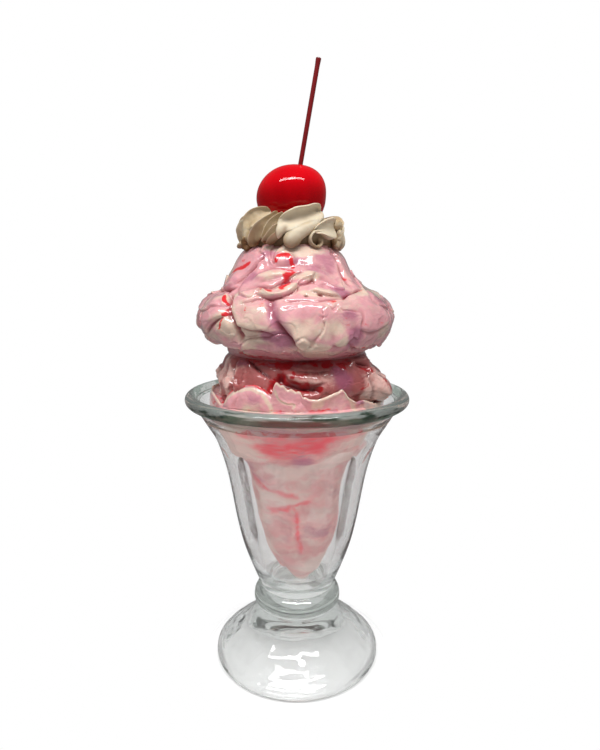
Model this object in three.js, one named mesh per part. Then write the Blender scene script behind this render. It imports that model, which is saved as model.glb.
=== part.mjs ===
// A display ice cream sundae: two folded scoops, piped cream and a cherry
// in a footed tulip glass. Sizes are in millimetres, +Z is up, -Y is the front.
// The origin is the middle of the ring that the foot stands on.

import * as THREE from "three";
import { mergeVertices } from "three/addons/utils/BufferGeometryUtils.js";

// ---- Driving dimensions ----

const rimRadius = 47.5;         // outermost point of the rolled rim
const rimTube = 2.98;           // half thickness of the rolled rim
const glassHeight = 122.2;
const collarRadius = 19.34;     // outermost point of the ring round the neck
const collarTube = 2.6;
const collarHeight = 27.6;      // height of the ring's middle
const footRadius = 36.7;
const footEdgeHeight = 2.6;     // where the foot is widest
const standRadius = 32.4;       // inner edge of the flat ring that the glass stands on
const footHollow = 15.5;        // depth of the hollow under the foot
const bowlBottom = 35.2;        // inside of the bowl, at its lowest
const fluteCount = 10;
const fluteDepth = 0.9;         // flutes are pressed into the inside of the bowl
const fluteTop = 99;
const fluteBottom = 42;

const clearance = 0.3;          // between pieces that rest on each other
const foldClearance = 0.4;      // between the collar of folds and the scoop inside it

const plugTip = 36.2;           // lowest point of the ice cream in the bowl
const contactHeight = 102.5;    // above this the ice cream touches the bowl
const seatHeight = 112;         // the lower scoop stands on the filling here
const fillingRadius = 36.4;     // where the filling leaves the bowl
const waistHeight = 138.3;      // between the two scoops
const shoulderHeight = 183;     // flat top of the upper scoop

const creamTop = 195.5;
const cherryCentre = 201.6;
const cherryRadius = 13.9;
const cherryHalfHeight = 12.2;
const stemRadius = 0.95;
const stemTop = 254.2;
const stemTilt = 10.1;          // degrees from upright, towards +X
const lean = -2.4;              // sideways place of the cream and the cherry
const stemOffset = 3.8;         // from the middle of the cherry to where its stem comes out

// ---- Shared shapes ----

const degree = Math.PI / 180;

// Smallest turn from one angle to another, in degrees.
function turnBetween(from, to) {
  return ((to - from + 540) % 360) - 180;
}

// Goes from 0 to 1 between two values, with soft ends. Either may be the larger.
function blend(from, to, value) {
  const share = THREE.MathUtils.clamp((value - from) / (to - from), 0, 1);
  return share * share * (3 - 2 * share);
}

// A bell curve that is 1 at the middle and nearly 0 at twice the half width.
function bell(distance, halfWidth) {
  return Math.exp(-((distance / halfWidth) ** 2));
}

// Points on a smooth curve through [radius, height] pairs.
function smoothRows(pairs, count) {
  const curve = new THREE.SplineCurve(pairs.map(([r, z]) => new THREE.Vector2(r, z)));
  return curve.getSpacedPoints(count);
}

// Points on an arc about a centre, both angles in degrees from outwards.
function arcRows(radius, height, size, from, to, count) {
  const rows = [];
  for (let i = 0; i <= count; i += 1) {
    const angle = (from + (to - from) * i / count) * degree;
    rows.push(new THREE.Vector2(radius + size * Math.cos(angle), height + size * Math.sin(angle)));
  }
  return rows;
}

// Adds to each row its outward direction and how far it may be moved:
// rows near the axis, and rows on the flat seats, stay where they are.
function freeRows(rows, lowSeat, highSeat) {
  return rows.map((row, i) => {
    const before = rows[Math.max(i - 1, 0)];
    const after = rows[Math.min(i + 1, rows.length - 1)];
    const along = after.clone().sub(before).normalize();
    const onSeat = row.x < 1 || row.y < lowSeat + 0.2 || row.y > highSeat - 0.2;
    const softening = blend(0, 4, row.y - lowSeat) * blend(0, 2, highSeat - row.y);
    return { r: row.x, z: row.y, outR: along.y, outZ: -along.x, free: onSeat ? 0 : softening };
  });
}

// Turns a row list about the axis. place(row, angle) gives each vertex as
// { r, z, shift, turn }, where angle is 0 at the front and 90 at +X, shift is a
// move along X and turn is a further angle.
function turned(rows, around, place) {
  const geometry = new THREE.LatheGeometry(rows.map((row) => new THREE.Vector2(row.r, row.z)), around);
  const position = geometry.getAttribute("position");
  for (let i = 0; i < position.count; i += 1) {
    const row = rows[i % rows.length];
    const side = Math.floor(i / rows.length) % around;
    const angle = side * 360 / around;
    const { r, z, shift = 0, turn = 0 } = place(row, angle);
    const direction = (angle + turn) * degree;
    position.setXYZ(i, r * Math.sin(direction) + shift, -r * Math.cos(direction), z);
  }
  return geometry;
}

// Joins the seam and the poles, and drops the triangles that close up there.
function closedGeometry(geometry) {
  geometry.deleteAttribute("normal");
  geometry.deleteAttribute("uv");
  const joined = mergeVertices(geometry, 1e-4);
  const index = joined.getIndex();
  const kept = [];
  for (let i = 0; i < index.count; i += 3) {
    const [a, b, c] = [index.getX(i), index.getX(i + 1), index.getX(i + 2)];
    if (a !== b && b !== c && c !== a) kept.push(a, b, c);
  }
  joined.setIndex(kept);
  joined.computeVertexNormals();
  return joined;
}

function piece(name, geometry, colour, roughness, extra = {}) {
  const material = new THREE.MeshStandardMaterial({ color: colour, roughness, metalness: 0, ...extra });
  const mesh = new THREE.Mesh(closedGeometry(geometry), material);
  mesh.name = name;
  return mesh;
}

// ---- Folds of the ice cream ----
// A fold is { angle, z, width, height, rise, slope }. It stands out by rise at
// its middle, or goes in if rise is negative. Its half sizes are in
// millimetres, and slope tips its long way up towards +X, in degrees.

function foldRelief(folds, radius, angle, z) {
  let relief = 0;
  for (const fold of folds) {
    const across = radius * turnBetween(fold.angle, angle) * degree;
    const up = z - fold.z;
    const slope = (fold.slope ?? 0) * degree;
    const along = across * Math.cos(slope) + up * Math.sin(slope);
    const over = up * Math.cos(slope) - across * Math.sin(slope);
    relief += fold.rise * bell(along, fold.width) * bell(over, fold.height);
  }
  return relief;
}

// Moves a row outwards by the folds, and sideways by shift.
function folded(row, angle, folds, shift) {
  const relief = row.free * foldRelief(folds, row.r, angle, row.z);
  return { r: row.r + row.outR * relief, z: row.z + row.outZ * relief, shift };
}

// ---- Glass ----

const rimCentreRadius = rimRadius - rimTube;
const rimCentreHeight = glassHeight - rimTube;

function glassRows() {
  const underside = smoothRows([
    [0, footHollow], [8, footHollow - 1.3], [17, 10.3], [25, 5.9], [30, 2.4], [standRadius, 0],
  ], 6);
  const footEdge = arcRows(footRadius - footEdgeHeight, footEdgeHeight, footEdgeHeight, -90, 62, 4);
  const foot = smoothRows([[34, 6.1], [32, 8], [27, 11], [22.3, 14], [18.8, 17], [17.1, 20], [17.3, 24.4]], 5);
  const collar = arcRows(collarRadius - collarTube, collarHeight, collarTube, -50, 80, 4);
  const bowl = smoothRows([
    [15.1, 31.2], [16.95, 35], [18.7, 40], [21.5, 47], [24.4, 56], [26.6, 66],
    [28.3, 76], [30.1, 86], [32.4, 95], [35.3, 103], [38.8, 109], [42.3, 114.8],
  ], 7);
  const rim = arcRows(rimCentreRadius, rimCentreHeight, rimTube, -45, 180, 5);
  const inside = smoothRows([
    [38.9, 115.6], [35.4, 110.3], [32, 104.5], [28.96, 96], [26.6, 86.8], [24.75, 76.6],
    [23.07, 66.7], [20.8, 57], [17.7, 48.4], [14.6, 41.5], [9.5, 36.8], [0, bowlBottom],
  ], 10);
  const outside = [...underside, ...footEdge, ...foot, ...collar, ...bowl, ...rim];
  const rows = [];
  for (const row of outside) rows.push({ r: row.x, z: row.y, inside: false });
  for (const row of inside) rows.push({ r: row.x, z: row.y, inside: true });
  return rows;
}

// Half width of the bowl's inside at a height, without its flutes.
const insideWall = glassRows().filter((row) => row.inside).reverse();

function bowlRadius(z) {
  const next = insideWall.findIndex((row) => row.z > z);
  if (next < 1) return next === 0 ? 0 : insideWall[insideWall.length - 1].r;
  const low = insideWall[next - 1];
  const high = insideWall[next];
  return THREE.MathUtils.mapLinear(z, low.z, high.z, low.r, high.r);
}

// Each flute is a shallow channel with a sharp rib on both sides.
function fluteCut(angle, z) {
  const across = Math.abs(Math.sin(fluteCount / 2 * angle * degree));
  const length = blend(fluteBottom - 3, fluteBottom + 4, z) * blend(fluteTop + 3, fluteTop - 5, z);
  return fluteDepth * across * length;
}

function makeGlass() {
  const place = (row, angle) => ({ r: row.r + (row.inside ? fluteCut(angle, row.z) : 0), z: row.z });
  const looks = { transparent: true, opacity: 0.35 };
  return piece("glass", turned(glassRows(), 50, place), 0xdfe8e3, 0.05, looks);
}

// ---- Lower scoop ----

const lowerFolds = [
  { angle: 68, z: 126.6, width: 8, height: 3.4, rise: 6.4, slope: -8 },
  { angle: 56, z: 132.5, width: 6.5, height: 3, rise: 1.8 },
  { angle: -9, z: 131.5, width: 9, height: 1.8, rise: -2.2, slope: -22 },
  { angle: -50, z: 131, width: 2.4, height: 7, rise: -1.3 },
  { angle: -72, z: 130, width: 2.4, height: 7, rise: -1.2 },
  { angle: 12, z: 132, width: 11, height: 4, rise: 1 },
  { angle: 112, z: 130, width: 9, height: 4, rise: 1.6, slope: 15 },
  { angle: 165, z: 128, width: 12, height: 4, rise: 1.4, slope: -20 },
  { angle: -128, z: 131, width: 10, height: 3.4, rise: 1.5, slope: 25 },
  { angle: -98, z: 127, width: 3, height: 7, rise: -1.4 },
  { angle: 180, z: 122, width: 20, height: 9, rise: -4.5 },
];

const lowerOutline = [
  [26.5, seatHeight + clearance], [29.6, 113.6], [32, 117.6], [33.6, 122], [35, 127.5],
  [33.6, 131.6], [31.3, 135.4], [30, 137.2], [28.6, waistHeight],
];

function lowerRows() {
  const side = smoothRows(lowerOutline, 11);
  const bottom = new THREE.Vector2(0, seatHeight + clearance);
  const top = new THREE.Vector2(0, waistHeight);
  return freeRows([bottom, ...side, top], seatHeight + clearance, waistHeight);
}

function makeLowerScoop() {
  const place = (row, angle) => folded(row, angle, lowerFolds, 0);
  return piece("scoop_lower", turned(lowerRows(), 60, place), 0xc98a90, 0.25);
}

// Radius of the lower scoop at a height, with its folds.
function lowerRadius(angle, z) {
  const rows = lowerRows().slice(1, -1).map((row) => folded(row, angle, lowerFolds, 0));
  const next = rows.findIndex((row) => row.z > z);
  if (next < 1) return next === 0 ? rows[0].r : rows[rows.length - 1].r;
  return THREE.MathUtils.mapLinear(z, rows[next - 1].z, rows[next].z, rows[next - 1].r, rows[next].r);
}

// The furthest that the lower scoop reaches near a place, so that a flat facet
// spanned between two such places clears it.
function lowerReach(angle, z) {
  let reach = 0;
  for (const turn of [-5, 0, 5]) {
    for (const rise of [-2.5, 0, 2.5]) reach = Math.max(reach, lowerRadius(angle + turn, z + rise));
  }
  return reach;
}

// ---- Filling in the bowl, with a collar of folds round the lower scoop ----

const collarFolds = [
  { angle: -27, width: 16, rise: 10.4 },
  { angle: -6, width: 8, rise: 5 },
  { angle: 26, width: 12, rise: 9.6 },
  { angle: 8, width: 10, rise: 4 },
  { angle: -95, width: 22, rise: 2.5 },
  { angle: 70, width: 12, rise: -1.6 },
  { angle: 108, width: 14, rise: 3 },
  { angle: 145, width: 14, rise: 5 },
  { angle: -150, width: 16, rise: 4.4 },
];
const collarLow = 120.6;        // height of the collar between its folds
const collarTuck = 2.2;         // the tops of its folds lean in this far
const foldThickness = 1.2;      // least thickness of the collar
const backGap = 5;              // the filling is further from the rim at the back
const edgeWave = 0.5;           // and its edge is slightly three-sided
const facetRoom = 0.1;          // the middle of a flat facet of the glass comes in this much
const plugWave = 0.7;
const plugLean = 1.8;           // sideways place of the lower half of the plug

function collarHeightAt(angle) {
  let height = collarLow;
  for (const fold of collarFolds) height += fold.rise * bell(turnBetween(fold.angle, angle), fold.width);
  return height;
}

// Distance that the edge of the filling keeps from its widest circle.
function edgeInset(angle) {
  const back = backGap * bell(turnBetween(180, angle), 34);
  return back + edgeWave * (Math.cos(3 * angle * degree) - 1);
}

// Ragged end of the plug: a long tip at the front, shorter teeth beside it.
function plugRagged(angle) {
  return 3.5 * bell(turnBetween(-60, angle), 30) + 8 * bell(turnBetween(75, angle), 45);
}

const plugOutline = [
  [3.6, plugTip], [6.8, 39.2], [10.4, 42.5], [12.9, 47], [14.8, 54], [16, 61], [17.3, 69], [19.7, 79],
  [21.8, 87], [24.2, 94], [27.2, 98.6],
];

function fillingRows() {
  const rows = [{ part: "axis", r: 0, z: plugTip }];
  for (const row of smoothRows(plugOutline, 9)) rows.push({ part: "plug", r: row.x, z: row.y });
  for (const z of [contactHeight, 106.5, 110]) rows.push({ part: "contact", r: 0, z });
  for (const share of [0, 0.45, 0.85, 1]) rows.push({ part: "collarOutside", r: fillingRadius, z: 114.5, share });
  for (const share of [1, 0.6, 0.2]) rows.push({ part: "collarInside", r: 0, z: 114, share });
  rows.push({ part: "seat", r: 29.5, z: seatHeight });
  rows.push({ part: "axis", r: 0, z: seatHeight });
  return rows;
}

function placeFilling(row, angle) {
  const top = collarHeightAt(angle);
  const inset = edgeInset(angle);
  if (row.part === "plug") {
    const lift = plugRagged(angle) * blend(62, 40, row.z) * blend(4, 9, row.r);
    const wave = plugWave * Math.sin(3 * angle * degree + row.z / 6) * blend(38, 50, row.z);
    return { r: row.r + wave, z: row.z + lift, shift: plugLean * blend(82, 64, row.z) };
  }
  if (row.part === "contact") {
    const wall = bowlRadius(row.z) - clearance - facetRoom;
    return { r: Math.min(wall, fillingRadius - inset), z: row.z };
  }
  if (row.part === "collarOutside") {
    const z = row.z + (top - row.z) * row.share;
    const tuck = collarTuck * blend(123, 131, z);
    const clear = lowerReach(angle, z) + foldClearance + foldThickness;
    return { r: Math.max(row.r - inset - tuck, clear), z };
  }
  if (row.part === "collarInside") {
    const z = row.z + (top - 1 - row.z) * row.share;
    return { r: lowerReach(angle, z) + foldClearance, z };
  }
  return { r: row.r, z: row.z, shift: row.z < seatHeight ? plugLean : 0 };
}

function makeFilling() {
  return piece("ice_cream_filling", turned(fillingRows(), 60, placeFilling), 0xd992a4, 0.3);
}

// ---- Upper scoop ----

const upperFolds = [
  { angle: -42, z: 157.5, width: 2.6, height: 6.5, rise: -3 },
  { angle: -63, z: 152, width: 12, height: 6, rise: 0.9 },
  { angle: -23, z: 147, width: 8, height: 4.6, rise: -1.6 },
  { angle: -16, z: 168.5, width: 8.5, height: 3.6, rise: 2.8, slope: 12 },
  { angle: -2, z: 167, width: 12, height: 2, rise: 2.6, slope: 22 },
  { angle: -13, z: 157, width: 3, height: 7, rise: -1.8, slope: -25 },
  { angle: 14, z: 148.5, width: 15, height: 6.5, rise: 2.6 },
  { angle: 12, z: 158, width: 12, height: 3.4, rise: 0.8 },
  { angle: 38, z: 162.5, width: 11, height: 1.6, rise: -2, slope: 6 },
  { angle: 33, z: 149, width: 3, height: 6, rise: -1.4 },
  { angle: 66, z: 156, width: 13, height: 5, rise: 0.8, slope: -20 },
  { angle: 102, z: 160, width: 11, height: 3, rise: 2.2, slope: 25 },
  { angle: 98, z: 150, width: 3, height: 7, rise: -1.9, slope: -20 },
  { angle: 132, z: 149, width: 14, height: 6, rise: 2.2 },
  { angle: 158, z: 163, width: 12, height: 2.6, rise: 2.3, slope: -24 },
  { angle: 165, z: 155, width: 4, height: 7, rise: -1.9, slope: 25 },
  { angle: -158, z: 148.5, width: 14, height: 6, rise: 2 },
  { angle: -140, z: 160, width: 12, height: 3, rise: 2, slope: 20 },
  { angle: -118, z: 154, width: 3, height: 8, rise: -2.2, slope: 15 },
  { angle: -100, z: 150, width: 11, height: 5, rise: 1.2 },
  { angle: -90, z: 166, width: 12, height: 2.4, rise: 1.2, slope: -20 },
];

const upperOutline = [
  [28.4, waistHeight + clearance], [30, 139.8], [32.8, 141.7], [35.8, 144], [38.2, 147], [39.7, 150.4],
  [40, 154.3], [38.7, 158.4], [35.9, 161.8], [31.9, 165.2], [27.9, 168], [25.2, 171], [23.4, 174.2],
  [21.7, 177.4], [19.2, 180.4], [15.4, shoulderHeight],
];

function upperRows() {
  const side = smoothRows(upperOutline, 22);
  const bottom = new THREE.Vector2(0, waistHeight + clearance);
  const top = new THREE.Vector2(0, shoulderHeight);
  return freeRows([bottom, ...side, top], waistHeight + clearance, shoulderHeight);
}

// The scoop is pushed towards -X, more so near its top.
function upperShift(z) {
  return lean * (0.2 + 0.8 * blend(156, 170, z)) * blend(138, 146, z);
}

function makeUpperScoop() {
  const place = (row, angle) => folded(row, angle, upperFolds, upperShift(row.z));
  return piece("scoop_upper", turned(upperRows(), 60, place), 0xd9a0ac, 0.22);
}

// ---- Piped cream ----
// Leaves lie side by side round the cherry, and sweep up towards +X.
// Each is { angle, width, rise }, in degrees and millimetres.

const creamLeaves = [
  { angle: -66, width: 20, rise: 3.6 },
  { angle: -42, width: 12, rise: 2.8 },
  { angle: -24, width: 12, rise: 2.6 },
  { angle: 0, width: 20, rise: 4 },
  { angle: 36, width: 18, rise: 3.4 },
  { angle: 66, width: 16, rise: 3.4 },
  { angle: 102, width: 20, rise: 3.8 },
  { angle: 138, width: 18, rise: 3.4 },
  { angle: 168, width: 16, rise: 3.8 },
  { angle: 204, width: 18, rise: 3.2 },
  { angle: 234, width: 18, rise: 3.8 },
  { angle: 264, width: 16, rise: 3.2 },
];
const creamSweep = 1.9;         // degrees that a leaf turns for each millimetre up
const creamBase = 182;
const leafDip = 2.4;            // the grooves between the leaves go in this far
const crestWave = 1.4;          // the upper edge is higher at the left and the right front
const cupClearance = 0.9;       // round the underside of the leaning cherry

const creamUnder = [[15.6, shoulderHeight + 0.35], [18.6, 181.7], [20.3, 180.4]];
const creamSide = [[21.2, 181.2], [21.3, 184], [20.4, 187.8], [18.4, 191.6], [15.8, 194.4], [14.2, creamTop]];

function creamRows() {
  const rows = [{ r: 0, z: shoulderHeight + 0.35, free: 0 }];
  for (const [r, z] of creamUnder) rows.push({ r, z, free: r > 19 ? 0.4 : 0 });
  for (const row of smoothRows(creamSide, 7)) rows.push({ r: row.x, z: row.y, free: 1 });
  for (const below of [6.2, 8.6, 10.8]) {
    const r = cherryRadius * Math.sqrt(1 - (below / cherryHalfHeight) ** 2);
    rows.push({ r: r + cupClearance, z: cherryCentre - below - cupClearance / 2, free: 0 });
  }
  rows.push({ r: 0, z: cherryCentre - cherryHalfHeight - cupClearance, free: 0 });
  return rows;
}

function leafRelief(angle) {
  let relief = 0;
  for (const leaf of creamLeaves) {
    const side = Math.abs(turnBetween(leaf.angle, angle)) / leaf.width;
    relief = Math.max(relief, leaf.rise * (1 - side ** 1.3));
  }
  return relief - leafDip;
}

function placeCream(row, angle) {
  const relief = row.free * leafRelief(angle);
  const high = row.free * blend(190, creamTop, row.z);
  const wave = bell(turnBetween(-90, angle), 30) + bell(turnBetween(28, angle), 26) - 0.3;
  const turn = row.free * creamSweep * (row.z - creamBase);
  const z = row.z + high * (crestWave * wave + 0.4 * relief);
  return { r: row.r + relief * (1 - 0.6 * high), z, shift: lean, turn };
}

function makeCream() {
  return piece("whipped_cream", turned(creamRows(), 60, placeCream), 0xd8cdb8, 0.7);
}

// ---- Cherry and stem ----

const socketDepth = 4;
const socketTop = cherryHalfHeight - 1.1;

// Sideways place of the leaning stem at a height above the cherry's middle.
function stemPlace(z) {
  return stemOffset + (z - cherryHalfHeight) * Math.tan(stemTilt * degree);
}

function cherryRows() {
  const rows = [{ r: 0, z: -cherryHalfHeight, shift: 0 }];
  const steps = 12;
  for (let i = 1; i < steps; i += 1) {
    const angle = (-90 + 180 * i / steps) * degree;
    const squarish = 1 + 0.03 * Math.sin(2 * angle) ** 2;
    const z = cherryHalfHeight * Math.sin(angle) * squarish;
    rows.push({ r: cherryRadius * Math.cos(angle) * squarish, z, shift: stemOffset * blend(8, 12, z) / 2 });
  }
  const socket = stemRadius + clearance;
  for (const [r, z] of [[2, socketTop + 0.8], [socket, socketTop], [socket, socketTop - socketDepth]]) {
    rows.push({ r, z, shift: stemPlace(z) });
  }
  rows.push({ r: 0, z: socketTop - socketDepth, shift: stemPlace(socketTop - socketDepth) });
  return rows;
}

function makeCherry() {
  const cherry = piece("cherry", turned(cherryRows(), 26, (row) => row), 0xc80d14, 0.08);
  cherry.position.set(lean, 0, cherryCentre);
  return cherry;
}

function makeStem() {
  const length = (stemTop - cherryCentre - socketTop + socketDepth) / Math.cos(stemTilt * degree) - clearance;
  const path = new THREE.LineCurve3(new THREE.Vector3(0, 0, clearance), new THREE.Vector3(0, 0, length));
  const section = new THREE.Shape().absarc(0, 0, stemRadius, 0, 2 * Math.PI, false);
  const shape = { extrudePath: path, steps: 4, curveSegments: 6, bevelEnabled: false };
  const stem = piece("cherry_stem", new THREE.ExtrudeGeometry(section, shape), 0x6e0c12, 0.3);
  const foot = socketTop - socketDepth;
  stem.position.set(lean + stemPlace(foot), 0, cherryCentre + foot);
  stem.rotation.y = stemTilt * degree;
  return stem;
}

// ---- The whole ----

const sundae = new THREE.Group();
sundae.add(makeGlass(), makeFilling(), makeLowerScoop(), makeUpperScoop(), makeCream(), makeCherry(), makeStem());

export default sundae;
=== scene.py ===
# Looks of a display ice cream sundae in a footed tulip glass.
# Sizes are in millimetres until a mesh is made. -Y is the front, +X is right,
# and an angle is 0 at the front and 90 at the right.
from functools import partial
import bpy
import numpy as np
from mathutils import Matrix


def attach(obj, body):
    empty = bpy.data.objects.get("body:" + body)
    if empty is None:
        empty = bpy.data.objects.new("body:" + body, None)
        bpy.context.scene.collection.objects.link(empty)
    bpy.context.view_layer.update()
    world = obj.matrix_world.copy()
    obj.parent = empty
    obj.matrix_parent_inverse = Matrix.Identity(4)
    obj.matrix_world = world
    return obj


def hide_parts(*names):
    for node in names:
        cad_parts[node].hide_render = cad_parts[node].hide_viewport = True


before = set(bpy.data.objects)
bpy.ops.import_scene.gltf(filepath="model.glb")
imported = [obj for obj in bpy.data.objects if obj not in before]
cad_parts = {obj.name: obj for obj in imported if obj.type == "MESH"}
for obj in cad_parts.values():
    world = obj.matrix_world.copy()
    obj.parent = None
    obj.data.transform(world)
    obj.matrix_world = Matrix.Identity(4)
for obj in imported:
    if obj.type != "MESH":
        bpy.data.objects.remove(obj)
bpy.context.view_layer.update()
mm = 0.001
degree = np.pi / 180


# Numbers and curves.

def colour(hexText):
    # an sRGB hex colour in linear light
    share = np.array([int(hexText[i:i + 2], 16) for i in (1, 3, 5)]) / 255
    linear = np.where(share <= 0.04045, share / 12.92, ((share + 0.055) / 1.055) ** 2.4)
    return (*linear.tolist(), 1.0)


def smooth(value, start, end):
    # goes from 0 to 1 between two values with soft ends (three squares less two
    # cubes of the share); start may be the larger
    share = np.clip((value - start) / (end - start), 0, 1)
    return share * share * (3 - 2 * share)


def bell(distance, halfWidth):
    # 1 at distance 0, falling off with its square
    return np.exp(-(distance / halfWidth) ** 2)


def unit(vectors):
    # each vector over its length
    return vectors / np.linalg.norm(vectors, axis=-1, keepdims=True)


def circle(count):
    # a full turn in equal steps, in radians
    return np.arange(count) * 2 * np.pi / count


def turned(r, z, turn, shift=0.0):
    # points at a radius and a height, turned about an upright axis at X = shift
    return np.stack(np.broadcast_arrays(r * np.sin(turn) + shift, -r * np.cos(turn), z), axis=-1)


def turnBetween(start, end):
    # smallest turn from one angle to another, in degrees
    return (end - start + 540) % 360 - 180


def stretch(value, start, full, fullEnd, end):
    # rises from 0 at the start to 1, and falls to 0 again at the end
    return smooth(value, start, full) * smooth(value, end, fullEnd)


def sector(angle, middle, end, full):
    # 1 within the turn called full on both sides of the middle, 0 beyond the end
    return smooth(np.abs(turnBetween(middle, angle)), end, full)


def quarterRise(share):
    # from 0 to 1 like the first quarter of a circle
    share = np.clip(share, 0, 1)
    return np.sqrt(share * (2 - share))


def splineThrough(points, steps=24):
    # smooth curve through points: on each span a cubic whose end slopes are
    # half the way between the two neighbours
    p = np.asarray(points, float)
    p = np.vstack([p[:1], p, p[-1:]])
    a, b, c, d = (p[i:len(p) - 3 + i, None] for i in range(4))
    t = np.linspace(0, 1, steps, endpoint=False)[None, :, None]
    slopeB, slopeC = (c - a) / 2, (d - b) / 2
    cubic = (2 * b - 2 * c + slopeB + slopeC) * t ** 3 + (3 * c - 3 * b - 2 * slopeB - slopeC) * t ** 2
    return np.vstack([(cubic + slopeB * t + b).reshape(-1, p.shape[1]), p[-1:]])


def alongCurve(curve):
    # distance of each point from the first, along the curve
    return np.concatenate([[0], np.cumsum(np.linalg.norm(np.diff(curve, axis=0), axis=1))])


def evenly(curve, count):
    # the same curve as points at equal distances
    along = alongCurve(curve)
    at = np.linspace(0, along[-1], count)
    return np.stack([np.interp(at, along, curve[:, k]) for k in range(curve.shape[1])], axis=1)


def smoothRows(points, count):
    # a smooth curve through points, as points at equal distances
    return evenly(splineThrough(points), count)


def arc(centreR, centreZ, size, start, end, count):
    # part of a circle in a section, between two angles from the outside
    angle = np.linspace(start, end, count) * degree
    return np.stack([centreR + size * np.cos(angle), centreZ + size * np.sin(angle)], axis=1)


def softNoise(place, cell, seed, octaves=1):
    # random numbers from -1 to 1 at the corners of cubes, blended smoothly
    # inside each cube, plus the same at half the size and height
    total = np.zeros(place.shape[:-1])
    for octave in range(octaves):
        lattice = np.random.default_rng(seed + octave).uniform(-1, 1, (32, 32, 32))
        scaled = place / (cell / 2 ** octave) + 7.3
        low = np.floor(scaled).astype(int)
        share = scaled - low
        share = share * share * (3 - 2 * share)
        for corner in np.ndindex(2, 2, 2):
            weight = np.prod(np.where(corner, share, 1 - share), axis=-1)
            i, j, k = np.moveaxis((low + corner) % 32, -1, 0)
            total += weight * lattice[i, j, k] / 2 ** octave
    return total


# Meshes.

def addPiece(name, grids, materials, replaced, marbles=None, rowMaterials=None):
    # Each grid is rows x columns x 3. A row is a closed ring, the first and the
    # last row are one point each, and rows and columns turn so that faces
    # point outwards. marbles give four numbers at each grid point, and
    # rowMaterials the number of the material of each row.
    def pointList(grids):
        return np.vstack([part for grid in grids for part in (
            grid[0, :1], grid[1:-1].reshape(-1, grid.shape[-1]), grid[-1, :1])]).astype(np.float32)

    loops, sizes, first = [], [], 0
    for grid in grids:
        rows, columns = grid.shape[:2]
        here = first + 1 + np.arange((rows - 2) * columns).reshape(rows - 2, columns)
        right = np.roll(here, -1, axis=1)
        last = here[-1, -1] + 1
        quads = np.stack([here[:-1], right[:-1], right[1:], here[1:]], axis=-1)
        lowFan = np.stack([np.full(columns, first), right[0], here[0]], axis=-1)
        highFan = np.stack([here[-1], right[-1], np.full(columns, last)], axis=-1)
        loops += [quads.ravel(), lowFan.ravel(), highFan.ravel()]
        sizes += [np.full(quads.size // 4, 4), np.full(2 * columns, 3)]
        first = last + 1
    vertices = pointList([grid * mm for grid in grids])
    loops, sizes = np.concatenate(loops), np.concatenate(sizes)
    mesh = bpy.data.meshes.new(name)
    mesh.vertices.add(len(vertices))
    mesh.vertices.foreach_set("co", vertices.ravel())
    mesh.loops.add(len(loops))
    mesh.loops.foreach_set("vertex_index", loops.astype(np.int32))
    mesh.polygons.add(len(sizes))
    mesh.polygons.foreach_set("loop_start", (np.cumsum(sizes) - sizes).astype(np.int32))
    mesh.polygons.foreach_set("use_smooth", np.ones(len(sizes), bool))
    for material in materials:
        mesh.materials.append(material)
    if rowMaterials is not None:
        kinds = np.asarray(rowMaterials, np.int32)
        mesh.polygons.foreach_set("material_index", np.repeat(
            np.concatenate([kinds[1:-2], kinds[:1], kinds[-1:]]), columns))
    mesh.update(calc_edges=True)
    mesh.validate()
    if marbles is not None:
        layer = mesh.attributes.new("marble", "FLOAT_COLOR", "POINT")
        layer.data.foreach_set("color", pointList(marbles).ravel())
    made = bpy.data.objects.new(name, mesh)
    bpy.context.collection.objects.link(made)
    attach(made, "root")
    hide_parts(replaced)
    print(name, len(sizes), "faces")


# Modelling on a turned surface.

crowding = 0.42  # how much closer together the columns lie at the front


def frontTurns(columns):
    # a full turn, less a sine that draws the columns to the front
    even = circle(columns)
    return even - crowding * np.sin(even)


def turnedField(outline, rowCount, columns):
    # A clean turned surface, its directions, and empty layers for what the
    # modelling adds. The outline runs from the low seat to the high seat.
    side = smoothRows(outline, rowCount)
    low, high = side[0], side[-1]
    rows = np.vstack([[0, low[1]], [0.96 * low[0], low[1]], side, [0.94 * high[0], high[1]], [0, high[1]]])
    along = unit(np.gradient(rows, axis=0))
    distance = alongCurve(rows)
    turn = frontTurns(columns)
    r, z = rows.T
    free = stretch(z, low[1], low[1] + 2.5, high[1] - 1.5, high[1])
    free[:2] = free[-2:] = 0
    field = {
        "angle": turn / degree, "r": r, "z": z, "distance": distance, "alongR": along[:, 0], "alongZ": along[:, 1],
        "sideZ": side[:, 1], "sideDistance": distance[2:-2], "sideR": side[:, 0], "free": free,
    }
    for layer in ("lift", "across", "up", "red", "mauve", "cream"):
        field[layer] = np.zeros((len(rows), columns))
    field["base"] = turned(rows[:, :1], rows[:, 1:], turn)
    field["wobble"] = softNoise(field["base"], 5, 11, 2)
    return field


def besideCurve(place, curve):
    # For places in a plane: signed distance to a curve (positive on the left
    # of the way it runs), distance along it, its length and its left hand.
    curve = splineThrough(curve)
    length = np.linalg.norm(np.diff(curve, axis=0), axis=1).sum()
    curve = evenly(curve, max(12, int(length / 0.5)))
    flat = place.reshape(-1, 2)
    nearest = np.argmin(((flat[:, None] - curve[None]) ** 2).sum(-1), axis=1)
    offset, way = flat - curve[nearest], unit(np.gradient(curve, axis=0))[nearest]
    side = way[:, 0] * offset[:, 1] - way[:, 1] * offset[:, 0]
    along = nearest * length / (len(curve) - 1) + (offset * way).sum(1)
    shape = place.shape[:-1]
    left = np.stack([-way[:, 1], way[:, 0]], axis=-1).reshape(*shape, 2)
    return side.reshape(shape), along.reshape(shape), length, left


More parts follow.
